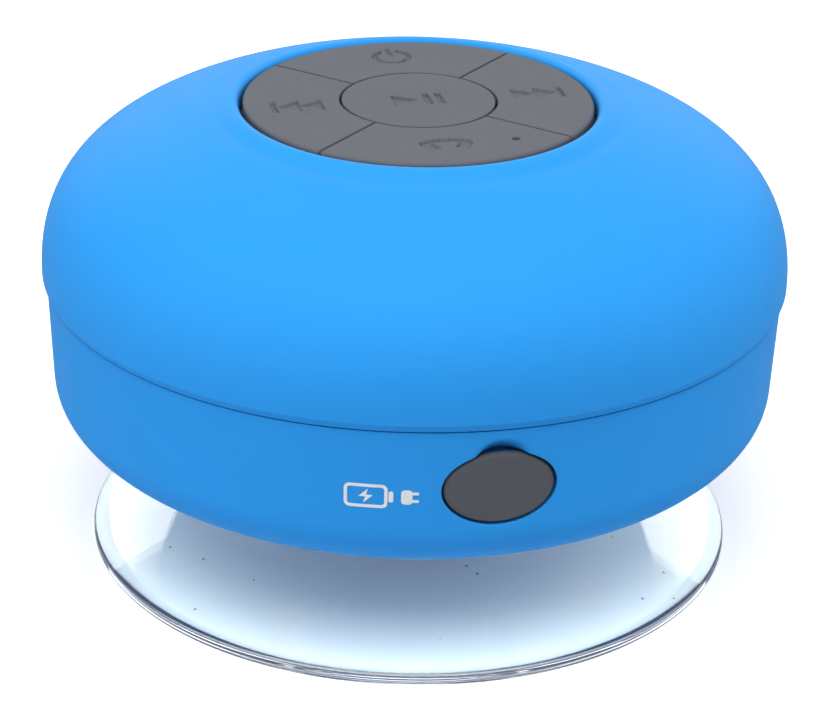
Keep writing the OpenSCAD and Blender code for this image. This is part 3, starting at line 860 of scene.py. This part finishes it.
def ring_piece(name, look, node, rows, columns=240, centre=(0, 0), reshape=None):
    """A turned ring with a closed outline, reshaped where asked, in place of a CAD node."""
    skin = Skin()
    ids = skin.turn(rows, columns, centre)
    skin.band(ids[-1], ids[0])
    if reshape:
        skin.points = [reshape(np.vstack(skin.points))]
    skin.piece(name, look, [node])


def seal_ring():
    """O-ring in the tongue's groove, with a fine moulding line round its middle."""
    low, high = span("casing_seal")
    thick = (high[2] - low[2]) / 2
    a = TAU * np.arange(36) / 36
    r = thick + 0.02 * np.abs(np.cos(a)) ** 40
    rows = np.stack([high[0] - thick + r * np.cos(a), low[2] + thick + r * np.sin(a)], 1)
    ring_piece("seal_ring", "seal_rubber", "casing_seal", rows, 288)


def web_hole(skin, ids, windows, at, radius, top, web, fold=()):
    """A hole through the keypad web, with a thinned fold of (distance out, lift) round it."""
    front = at.discs(*[(radius + out, top, lift) for out, lift in (*fold, (0.1, 0), (0, -0.1))])
    back = at.discs((radius + 0.1, web), (radius, web, 0.1))
    pierce(skin, ids, windows, at.flatten, (at.on(top), front), (at.on(web), back), (3, 3))


def keypad_web():
    """Membrane under the keys: a skirt on the key board, and a thin fold round each plunger."""
    low, high = span("keypad_membrane")
    reach, top, foot = high[0], high[2], low[2]
    web, skirt_in = top - 0.8, reach - 1.7
    flat = np.concatenate([np.linspace(3.6, 11.2, 10), np.linspace(11.5, 17, 23),
                           np.linspace(17.5, 20, 6)])
    start, end = np.searchsorted(flat, [11.49, 16.49])
    mic_start, mic_end = np.searchsorted(flat, [14.49, 16.99])
    mouth = rounded([(1.8, web + 0.3), (1.8, top, 0.1), (2.3, top, 0.1), (2.5, top - 0.3, 0.1),
                     (3.0, top - 0.3, 0.1), (3.2, top, 0.1), (3.4, top)])
    skirt = rounded([(20.4, top), (reach, top, 0.15), (reach, foot, 0.15), (skirt_in, foot, 0.15),
                     (skirt_in, web, 0.2), (skirt_in - 0.3, web)])
    rows = np.vstack([mouth, run_of(flat, top), skirt, run_of(flat[::-1], web),
                      [(1.9, web), (1.8, web + 0.1)]])
    first = len(mouth)
    under = first + len(flat) + len(skirt)
    last = under + len(flat) - 1
    plungers = [[window_at((first + start, first + end), COLUMNS // 4 * k, 13),
                 window_at((last - end, last - start), COLUMNS // 4 * k, 13)] for k in range(4)]
    mic_column = round(COLUMNS * (MIC_ANGLE % TAU) / TAU)
    mic = [window_at((first + mic_start, first + mic_end), mic_column, 6),
           window_at((last - mic_end, last - mic_start), mic_column, 6)]
    skin = Skin()
    openings = mic + [w for pair in plungers for w in pair]
    ids = skin.turn(rows, COLUMNS, windows=openings)
    skin.band(ids[-1], ids[0])
    fold = ((1.4, 0), (1.25, -0.2), (1.1, -0.3), (0.8, -0.3), (0.65, -0.2), (0.5, 0))
    for k, pair in enumerate(plungers):
        web_hole(skin, ids, pair, Spoke(TAU * k / 4, PLUNGER_AT), PLUNGER_R + 0.3, top, web, fold)
    web_hole(skin, ids, mic, Spoke(MIC_ANGLE, MIC_AT), 0.6, top, web)
    skin.piece("keypad_web", "keypad_grey", ["keypad_membrane"])


def mic_boot():
    """Rubber boot that grips the microphone and leads sound down from its hole."""
    low, high = span("microphone_boot")
    foot, top, ledge = low[2], high[2], low[2] + 1.45
    corners = [(1.7, foot + 1), (1.7, top, 0.2), (0.5, top, 0.15), (0.5, ledge, 0.05),
               (1.02, ledge, 0.05), (1.02, foot, 0.08), (1.7, foot, 0.2), (1.7, foot + 1)]
    ring_piece("mic_boot", "seal_rubber", "microphone_boot", rounded(corners)[:-1], 48, (MIC_X, MIC_Y))


def squeezed(width, low, high):
    """Outline of a foam strip of a width, pressed flat, with bulging sides."""
    a = TAU * np.arange(44) / 44
    c, s = np.cos(a), np.sin(a)
    across = np.sign(c) * np.abs(c) ** 0.35 * width / 2
    up = np.sign(s) * np.abs(s) ** 0.5 * (high[2] - low[2]) / 2
    return np.stack([high[0] - width / 2 + across, (low[2] + high[2]) / 2 + up], 1)


def ripple(points, inward):
    """Foam points pressed in unevenly round the axis, by up to a depth."""
    angle = np.arctan2(points[:, 1], points[:, 0])
    wave = sum(np.sin(n * angle + n * n) for n in (7, 19, 43, 71)) / 4
    r = np.hypot(points[:, 0], points[:, 1])
    points[:, :2] *= (1 - inward * (0.5 + 0.5 * wave) / np.maximum(r, 1))[:, None]
    return points


def foam_pieces():
    """The driver's foam gasket and the foam pad under the battery."""
    ring_piece("gasket_ring", "foam_grey", "speaker_gasket", squeezed(2.5, *span("speaker_gasket")),
               360, reshape=lambda points: ripple(points, 0.12))
    low, high = span("battery_pad")
    edge = squeezed(2, low, high)
    side = edge[edge[:, 0] >= high[0] - 1]
    side = side[np.argsort(side[:, 1])]
    skin = Skin()
    skin.spindle(np.vstack([[0.5, low[2]], [6, low[2]], side, [6, high[2]], [0.5, high[2]]]), 240)
    skin.points = [ripple(np.vstack(skin.points), 0.25)]
    skin.piece("cell_pad", "foam_grey", ["battery_pad"])


def surround_roll():
    """Half-roll rubber surround between the cone and the basket."""
    low, high = span("speaker_surround")
    depth = high[2] - low[2]
    a = np.linspace(-math.pi, 0, 33)
    rows = [np.stack([high[0] - depth + r * np.cos(t), high[2] + r * np.sin(t)], 1)
            for r, t in ((depth, a), (depth - 0.3, a[::-1]))]
    ring_piece("surround_roll", "seal_rubber", "speaker_surround", np.vstack(rows))


def spider_cloth():
    """Corrugated cloth suspension between the voice coil and the basket."""
    low, high = span("spider")
    inner, outer, thick = span("voice_coil")[1][0] - 0.35, high[0], 0.25
    r = np.linspace(inner, outer, 81)
    middle = low[2] + 0.2 + 0.2 * np.sin((r - inner) / (outer - inner) * 4 * TAU)
    rows = np.vstack([run_of(r, middle), run_of(r, middle + thick)[::-1]])
    ring_piece("spider_disc", "spider_cloth", "spider", rows)


def sound_cloth():
    """Woven cloth over the sound slots."""
    low, high = span("acoustic_mesh")
    pitch, thick = 0.9, high[2] - low[2]
    r = np.linspace(HUB_R + 0.1, high[0], 61)

    def weave(points):
        x, y = np.pi * points[:, 0] / pitch, np.pi * points[:, 1] / pitch
        threads = np.maximum(np.abs(np.sin(x)), np.abs(np.sin(y)))
        points[:, 2] += (1 - threads) * thick * 0.35 * np.where(points[:, 2] > low[2] + 0.01, -1, 1)
        return points

    ring_piece("sound_cloth", "mesh_black", "acoustic_mesh",
               np.vstack([run_of(r, low[2]), run_of(r, high[2])[::-1]]), COLUMNS, reshape=weave)


def soften(path):
    """Cuts a polyline's corners until it bends smoothly."""
    for _ in range(3):
        near = path[:-1] * 0.75 + path[1:] * 0.25
        far = path[:-1] * 0.25 + path[1:] * 0.75
        middle = np.stack([near, far], 1).reshape(-1, 3)
        path = np.vstack([path[:1], middle[1:-1], path[-1:]])
    return path


def cable(skin, points, radius):
    """A round wire along a smooth curve near its points."""
    path = evenly(soften(points), 60)
    run = np.gradient(path, axis=0)
    run /= np.linalg.norm(run, axis=1)[:, None]
    side = np.cross(run[0], (0.3, 0.5, 0.8))
    a = TAU * np.arange(16)[:, None] / 16
    loops = []
    for here, ahead in zip(path, run):
        side = side - ahead * (side @ ahead)
        side /= np.linalg.norm(side)
        other = np.cross(ahead, side)
        loops.append(skin.add(here + radius * (np.cos(a) * side + np.sin(a) * other)))
    skin.tube(loops)


def wires():
    """Wires from the driver, the battery and the key board down to the main board."""
    board_top, board_low = span("radio_chip")[0][2], span("key_board")[0][2]
    cell, terminal_z = span("battery")[0], span("speaker_terminals")[0][2] + 2.2
    driver_run = [(0, 0.1 - span("speaker_basket")[1][0], terminal_z), (0, -23.6, board_top + 0.6),
                  (0, -25.6, board_top + 0.4)]
    cell_run = [(cell[0] - 3.5, -6, cell[2] + 2), (-23, -10, 33), (-13.5, -24, board_top + 5),
                (-9, -26, board_top + 2.7)]
    keys_run = [(12, -19, board_low - 0.45), (12, -20.5, 43), (9, -25.5, board_top + 4),
                (9, -26, board_top + 2.6)]
    for name, look, node, radius, run, shifts in (
            ("driver_leads", "wire_red", "speaker_wires", 0.35, driver_run, [(-2, 0), (2, 0)]),
            ("battery_leads", "wire_red", "battery_wires", 0.4, cell_run, [(-0.6, -0.6), (0.6, 0.6)]),
            ("key_board_leads", "connector_ivory", "key_board_wires", 0.35, keys_run,
             [(-1.2, 0), (0, 0), (1.2, 0)])):
        skin = Skin()
        for shift in shifts:
            cable(skin, np.array(run) + (*shift, 0), radius)
        skin.piece(name, look, [node])


def pouch_cell():
    """Foil pouch battery: soft edges, slightly crowned faces and a sealed seam round it."""
    low, high = span("battery")
    size, middle = high - low, (high[2] + low[2]) / 2
    share = np.arange(240) / 240
    rim_run = [(12, 1.0), (7, 0.985), (3, 0.94), (1.6, 0.86), (0.8, 0.68), (0.4, 0.4), (0.35, 0.08)]
    edges = [(inward, -up * size[2] / 2) for inward, up in rim_run] + [(0, -0.06)]
    skin = Skin()
    loops = []
    for inward, z in edges + [(inward, -z) for inward, z in edges[::-1]]:
        flat = along(box_outline(size[0] - 2 * inward, size[1] - 2 * inward, 1.2), share)
        loops.append(skin.add(np.column_stack([flat, np.full(len(flat), middle + z)])))
    skin.tube(loops)
    skin.piece("pouch_cell", "cell_foil", ["battery"])


# ---- Materials ----

class Nodes:
    """Adds nodes to a shader tree."""

    def __init__(self, tree):
        self.tree = tree

    def feed(self, socket, value):
        """Links a socket into an input, or sets the input's value."""
        if isinstance(value, bpy.types.NodeSocket):
            self.tree.links.new(value, socket)
        elif isinstance(value, tuple) and len(value) == 3 and socket.type == "RGBA":
            socket.default_value = (*value, 1)
        else:
            socket.default_value = value

    def node(self, kind, inputs=None, **settings):
        """Adds a node with its settings and inputs."""
        made = self.tree.nodes.new(kind)
        for key, value in settings.items():
            setattr(made, key, value)
        for key, value in (inputs or {}).items():
            self.feed(made.inputs[key], value)
        return made

    def span(self, value, low, high, start=0.0, end=1.0):
        """Maps a value between low and high to the range from start to end."""
        return self.node("ShaderNodeMapRange", {0: value, 1: low, 2: high, 3: start, 4: end}).outputs[0]

    def math(self, operation, a, b):
        """One arithmetic step."""
        return self.node("ShaderNodeMath", {0: a, 1: b}, operation=operation).outputs[0]


class Look(Nodes):
    """A material built up node by node round one Principled shader."""

    def __init__(self, name, colour, roughness, **inputs):
        self.material = bpy.data.materials.new(name)
        self.material.use_nodes = True
        super().__init__(self.material.node_tree)
        self.shader = self.tree.nodes["Principled BSDF"]
        self.place = self.node("ShaderNodeTexCoord").outputs["Object"]
        self.base = self.colour = colour
        self.feed(self.shader.inputs["Base Color"], colour)
        self.feed(self.shader.inputs["Roughness"], roughness)
        for key, value in inputs.items():
            self.feed(self.shader.inputs[key.replace("_", " ").title().replace("Ior", "IOR")], value)

    def noise(self, size, detail=3.0, roughness=0.55, stretch=None):
        """Noise from 0 to 1 with features of a size in millimetres."""
        place = self.place
        if stretch:
            place = self.node("ShaderNodeMapping", {"Vector": place, "Scale": stretch}).outputs[0]
        return self.node("ShaderNodeTexNoise", {"Vector": place, "Scale": 1 / (size * MM),
                         "Detail": detail, "Roughness": roughness}).outputs[0]

    def tint(self, share, other):
        """Shifts the base colour towards another colour by a share."""
        mix = self.node("ShaderNodeMix", {0: share, 6: self.colour, 7: other}, data_type="RGBA")
        self.colour = mix.outputs[2]
        self.feed(self.shader.inputs["Base Color"], self.colour)

    def vary(self, value, low, high):
        """Lets roughness follow a value from 0 to 1."""
        self.feed(self.shader.inputs["Roughness"], self.span(value, 0, 1, low, high))

    def relief(self, height, depth):
        """Adds bump from a height of 0 to 1, with its depth in millimetres."""
        inputs = {"Height": height, "Distance": depth * MM, "Strength": 1.0}
        linked = self.shader.inputs["Normal"].links
        if linked:
            inputs["Normal"] = linked[0].from_socket
        self.feed(self.shader.inputs["Normal"], self.node("ShaderNodeBump", inputs).outputs[0])

    def let_through(self, share, colour=(1, 1, 1)):
        """Lets a share of the rays pass straight through, with a tint."""
        clear = self.node("ShaderNodeBsdfTransparent", {"Color": colour}).outputs[0]
        mix = self.node("ShaderNodeMixShader", {0: share, 1: self.shader.outputs[0], 2: clear})
        self.feed(self.tree.nodes["Material Output"].inputs["Surface"], mix.outputs[0])


def paint_crevice_shade(look, reach, share, factor):
    """Paints shade into the hollows and crevices narrower than a reach in millimetres, darkening the base colour
    where ambient occlusion finds them closed in.
    """
    open_sky = look.node("ShaderNodeAmbientOcclusion", {"Distance": reach * MM}, samples=8).outputs[1]
    look.tint(look.span(open_sky, 0.45, 0.95, share, 0), shade(look.base, factor))


def shade(colour, factor):
    """A colour made darker or lighter."""
    return tuple(min(1, c * factor) for c in colour)


def soft_touch(name, colour):
    """Rubberised paint: a fine even grain, a faint bloom, slight handling marks and painted shade in its hollows.
    """
    look = Look(name, colour, 0.6, specular_ior_level=0.08)
    look.tint(look.span(look.noise(22), 0.35, 0.7, 0, 0.16), shade(colour, 0.9))
    # Painted shade: darker in the seam, the scoop above the port and other hollows within 3 mm.
    paint_crevice_shade(look, 3.0, 0.5, 0.3)
    look.vary(look.noise(6), 0.52, 0.66)
    look.relief(look.noise(0.16, 2), 0.004)
    look.relief(look.noise(0.9, 2), 0.004)
    return look.material


def silicone(name, colour, roughness=0.62, shade_reach=0.5):
    """Moulded silicone: a dry spark-eroded grain with faint dust and cloudiness, and painted shade in its
    crevices.
    """
    look = Look(name, colour, roughness, specular_ior_level=0.12)
    look.tint(look.span(look.noise(5, 5), 0.35, 0.7, 0, 0.25), shade(colour, 0.86))
    look.tint(look.span(look.noise(0.35, 4), 0.55, 0.8, 0, 0.3), shade(colour, 1.25))
    # Painted shade: darker in the key slits, engraved symbols and narrow gaps within the reach.
    paint_crevice_shade(look, shade_reach, 0.75, 0.25)
    look.vary(look.noise(1.5), roughness - 0.08, roughness + 0.1)
    look.relief(look.noise(0.22, 3), 0.012)
    return look.material


def plastic(name, colour, roughness=0.5, grain=0.4):
    """Moulded plastic with a fine mould texture."""
    look = Look(name, colour, roughness)
    look.tint(look.span(look.noise(3), 0.3, 0.75, 0, 0.3), shade(colour, 0.75))
    look.vary(look.noise(0.8), roughness - 0.1, roughness + 0.12)
    look.relief(look.noise(grain, 3), 0.01)
    return look.material


def metal(name, colour, roughness, stretch=(1, 12, 1), grain=1.2):
    """Worked metal: drawn scratches, dull patches and darker flecks."""
    look = Look(name, colour, roughness, metallic=1.0)
    scratch = look.noise(grain, 4, 0.7, stretch)
    look.tint(look.span(look.noise(2.5), 0.4, 0.8, 0, 0.5), shade(colour, 0.6))
    look.vary(scratch, roughness - 0.12, roughness + 0.18)
    look.relief(scratch, 0.006)
    return look.material


def woven(name, colour, pitch, depth=0.05):
    """Woven or open-cell sheet: two crossing sets of threads."""
    look = Look(name, colour, 0.75, specular_ior_level=0.2)
    across = [look.node("ShaderNodeTexWave", {"Vector": look.place, "Scale": 1 / (pitch * MM) / TAU * 2},
                        bands_direction=axis).outputs[1] for axis in ("X", "Y")]
    threads = look.math("MAXIMUM", *across)
    look.tint(look.span(threads, 0.2, 1, 1, 0), shade(colour, 0.35))
    look.tint(look.span(look.noise(2), 0.4, 0.7, 0, 0.3), shade(colour, 1.5))
    look.relief(threads, depth)
    return look.material


def fibrous(name, colour, depth=0.03):
    """Pressed fibre: short tangled strands with lighter flecks."""
    look = Look(name, colour, 0.85, specular_ior_level=0.15)
    strands = look.noise(0.5, 6, 0.75, (1, 3, 1))
    look.tint(look.span(strands, 0.45, 0.7, 0, 0.6), shade(colour, 2.2))
    look.tint(look.span(look.noise(4), 0.35, 0.7, 0, 0.4), shade(colour, 0.6))
    look.relief(strands, depth)
    return look.material


def circuit_board(name):
    """Solder mask over copper tracks, with tinned pads."""
    mask, track, pad = (0.012, 0.14, 0.06), (0.03, 0.26, 0.1), (0.75, 0.7, 0.6)
    look = Look(name, mask, 0.35)
    brick = look.node("ShaderNodeTexBrick", {"Vector": look.place, "Scale": 1 / (2.4 * MM),
                      "Mortar Size": 0.08, "Mortar Smooth": 0.1})
    lanes = brick.outputs[1]
    look.tint(lanes, track)
    dots = look.node("ShaderNodeTexVoronoi", {"Vector": look.place, "Scale": 1 / (2.1 * MM),
                     "Randomness": 0.6}).outputs[0]
    spots = look.span(dots, 0.16, 0.2, 1, 0)
    look.tint(spots, pad)
    look.tint(look.span(look.noise(6), 0.4, 0.7, 0, 0.35), shade(mask, 0.6))
    look.vary(spots, 0.38, 0.22)
    look.relief(lanes, 0.03)
    return look.material


def windings(name, colour):
    """Fine enamelled wire wound in rings."""
    look = Look(name, colour, 0.28, metallic=1.0)
    turns = look.node("ShaderNodeTexWave", {"Vector": look.place, "Scale": 1 / (0.2 * MM) / TAU * 2},
                      bands_direction="Z").outputs[1]
    look.tint(look.span(turns, 0, 0.5, 1, 0), shade(colour, 0.25))
    look.relief(turns, 0.04)
    return look.material


def clear_resin(name, colour, roughness=0.04):
    """Clear or milky resin."""
    look = Look(name, colour, roughness, transmission_weight=0.85, ior=1.49)
    look.tint(look.span(look.noise(1.2), 0.45, 0.7, 0, 0.2), shade(colour, 0.8))
    look.vary(look.noise(2), roughness, roughness + 0.08)
    return look.material


def clear_vinyl(name):
    """Clear soft vinyl: a faint blue body, moulding ripple and a few trapped specks.
    Shadow rays, and rays trapped in the rim, pass straight through with a slight tint."""
    colour = (0.94, 0.975, 1.0)
    look = Look(name, colour, 0.03, transmission_weight=1.0, ior=1.55, specular_ior_level=0.8)
    look.vary(look.noise(9), 0.01, 0.04)
    look.relief(look.noise(14, 1), 0.06)
    cells = look.node("ShaderNodeTexVoronoi", {"Vector": look.place, "Scale": 1 / (5 * MM),
                      "Randomness": 1.0}).outputs[0]
    look.tint(look.span(cells, 0.035, 0.05, 1, 0), (0.25, 0.2, 0.2))
    path = look.node("ShaderNodeLightPath").outputs
    deep = look.math("GREATER_THAN", path["Ray Depth"], 4.0)
    look.let_through(look.math("MAXIMUM", path["Is Shadow Ray"], deep), (0.975, 0.985, 0.995))
    return look.material


def print_white(name):
    """Pad-printed white ink with a slightly patchy surface."""
    look = Look(name, (0.9, 0.93, 0.95), 0.6)
    look.tint(look.span(look.noise(0.5, 4), 0.5, 0.8, 0, 0.4), (0.6, 0.72, 0.85))
    look.relief(look.noise(0.15), 0.01)
    return look.material


# How each look is made. All but port_print are material slots of the record.
RECIPES = {
    "casing_blue": (soft_touch, (0.03, 0.355, 0.93)),
    "keypad_grey": (silicone, (0.134, 0.143, 0.166), 0.75, 0.3),
    "plug_grey": (silicone, (0.108, 0.114, 0.13), 0.5, 0.3),
    "cup_clear": (clear_vinyl,),
    "seal_rubber": (silicone, (0.02, 0.02, 0.021)),
    "screw_steel": (metal, (0.6, 0.61, 0.63), 0.3),
    "board_green": (circuit_board,),
    "switch_metal": (metal, (0.68, 0.68, 0.7), 0.28),
    "socket_metal": (metal, (0.66, 0.66, 0.69), 0.25),
    "moulding_black": (plastic, (0.02, 0.02, 0.022)),
    "led_clear": (clear_resin, (0.92, 0.95, 0.98)),
    "capacitor_can": (metal, (0.75, 0.75, 0.77), 0.25, (1, 1, 10)),
    "connector_ivory": (plastic, (0.78, 0.74, 0.6), 0.45),
    "cell_foil": (metal, (0.62, 0.63, 0.66), 0.42, (1, 1, 1), 3.0),
    "foam_grey": (fibrous, (0.06, 0.06, 0.065), 0.08),
    "basket_black": (plastic, (0.03, 0.03, 0.033), 0.42, 0.6),
    "cone_paper": (fibrous, (0.025, 0.025, 0.028)),
    "spider_cloth": (woven, (0.5, 0.33, 0.09), 0.5),
    "coil_copper": (windings, (0.72, 0.3, 0.13)),
    "plate_zinc": (metal, (0.62, 0.64, 0.68), 0.35, (1, 1, 1)),
    "magnet_ferrite": (plastic, (0.05, 0.05, 0.053), 0.55, 0.3),
    "terminal_board": (plastic, (0.22, 0.1, 0.03), 0.6),
    "mesh_black": (woven, (0.02, 0.02, 0.022), 0.35, 0.08),
    "wire_red": (silicone, (0.5, 0.012, 0.012), 0.4),
    "port_print": (print_white,),
}
LOOKS = {name: recipe(name, *settings) for name, (recipe, *settings) in RECIPES.items()}


def dress_cad_nodes():
    """Gives each CAD node that still shows the finish its material slot names."""
    for part in frame["record"]["subparts"]:
        node = frame["nodes"][part["node"]]
        if not node.hide_render:
            node.data.materials.clear()
            node.data.materials.append(LOOKS[part["material_slot"]])


# ---- Stage ----

LIGHT_AIM = Vector((0, 0, 0.03))


def backdrop():
    """A plain pale floor, clear from below. It bounces less light than the camera sees, and looks
    brighter through the clear cup, as a lit sweep does."""
    mesh = bpy.data.meshes.new("floor")
    half = 6.0
    corners = [(-half, -half), (half, -half), (half, half), (-half, half)]
    mesh.from_pydata([(x, y, -0.00005) for x, y in corners], [], [(0, 1, 2, 3)])
    floor = bpy.data.objects.new("floor", mesh)
    look = Look("floor_white", (0.93, 0.93, 0.93), 0.9, specular_ior_level=0.0)
    path = look.node("ShaderNodeLightPath").outputs
    look.tint(look.span(look.noise(300), 0.3, 0.7, 0, 0.1), (0.9, 0.905, 0.91))
    mirrored = look.math("SUBTRACT", path["Is Glossy Ray"], path["Is Transmission Ray"])
    bounce = look.math("MAXIMUM", path["Is Diffuse Ray"], mirrored)
    look.tint(bounce, (0.62, 0.63, 0.65))
    look.feed(look.shader.inputs["Emission Color"], (1.0, 1.0, 1.0))
    look.tint(path["Is Transmission Ray"], (1.14, 1.26, 1.25))
    away = look.node("ShaderNodeVectorMath", {0: look.place}, operation="LENGTH").outputs[1]
    fill = look.span(away, 0.5, 2.0, 0.4, 1.0)
    look.feed(look.shader.inputs["Emission Strength"], look.math("MULTIPLY", path["Is Camera Ray"], fill))
    look.let_through(look.node("ShaderNodeNewGeometry").outputs["Backfacing"])
    mesh.materials.append(look.material)
    bpy.context.scene.collection.objects.link(floor)


def sky():
    """White to the camera and through the clear cup; it lights the rest only faintly, and more
    from overhead than from the horizon."""
    world = bpy.data.worlds.new("studio")
    world.use_nodes = True
    nodes = Nodes(world.node_tree)
    place = nodes.node("ShaderNodeTexCoord").outputs["Generated"]
    up = nodes.node("ShaderNodeSeparateXYZ", {0: place}).outputs["Z"]
    strength = nodes.span(up, 0, 0.9, 0.053, 0.081)
    path = nodes.node("ShaderNodeLightPath").outputs
    for ray, least in (("Is Camera Ray", 1.0), ("Is Transmission Ray", 0.8)):
        strength = nodes.math("MAXIMUM", strength, nodes.math("MULTIPLY", path[ray], least))
    background = nodes.tree.nodes["Background"].inputs
    nodes.feed(background["Color"], (1, 1, 1))
    nodes.feed(background["Strength"], strength)
    bpy.context.scene.world = world


def softbox(name, at, size, power):
    """A rectangular area light, placed in metres and aimed at the object."""
    data = bpy.data.lights.new(name, "AREA")
    data.shape = "RECTANGLE"
    data.size, data.size_y = size
    data.energy = power
    lamp = bpy.data.objects.new(name, data)
    lamp.location = at
    lamp.rotation_euler = (LIGHT_AIM - Vector(at)).to_track_quat("-Z", "Y").to_euler()
    bpy.context.scene.collection.objects.link(lamp)
    return lamp


def camera():
    """A long lens, a little above the object and to the left of the port."""
    round_, up, distance = math.radians(-13), math.radians(24.7), 0.32
    tilt, roll = math.radians(1.03), math.radians(1.34)
    away = Vector((math.sin(round_) * math.cos(up), -math.cos(round_) * math.cos(up), math.sin(up)))
    target = Vector((0, 0, cad_box[1].z / 2))
    data = bpy.data.cameras.new("camera")
    data.lens = 118.6
    data.sensor_width = 36
    data.clip_start = 0.01
    made = bpy.data.objects.new("camera", data)
    turn = (-away).to_track_quat("-Z", "Y").to_matrix().to_4x4()
    turn = turn @ Matrix.Rotation(roll, 4, "Z") @ Matrix.Rotation(-tilt, 4, "X")
    made.matrix_world = Matrix.Translation(target + away * distance) @ turn
    bpy.context.scene.collection.objects.link(made)
    bpy.context.scene.camera = made


def studio():
    """Floor, sky, lights and camera."""
    backdrop()
    sky()
    softbox("top_light", (-0.1, -0.35, 1.1), (1.3, 1.3), 16.0)
    for side in (-1, 1):
        softbox("side_light", (0.9 * side, -0.1, 0.35), (0.8, 0.8), 3.0)
    card = softbox("back_card", (0.3, 1.3, 0.5), (2.4, 1.0), 17.0)
    card.visible_diffuse = False
    camera()
    bpy.context.scene.view_settings.view_transform = "Standard"


for build in (top_casing, lower_casing, casing_posts, dome_fittings, keypad, port_plug, port_mark,
              suction_cup, seal_ring, keypad_web, mic_boot, foam_pieces, surround_roll, spider_cloth,
              sound_cloth, wires, pouch_cell, dress_cad_nodes, studio):
    build()
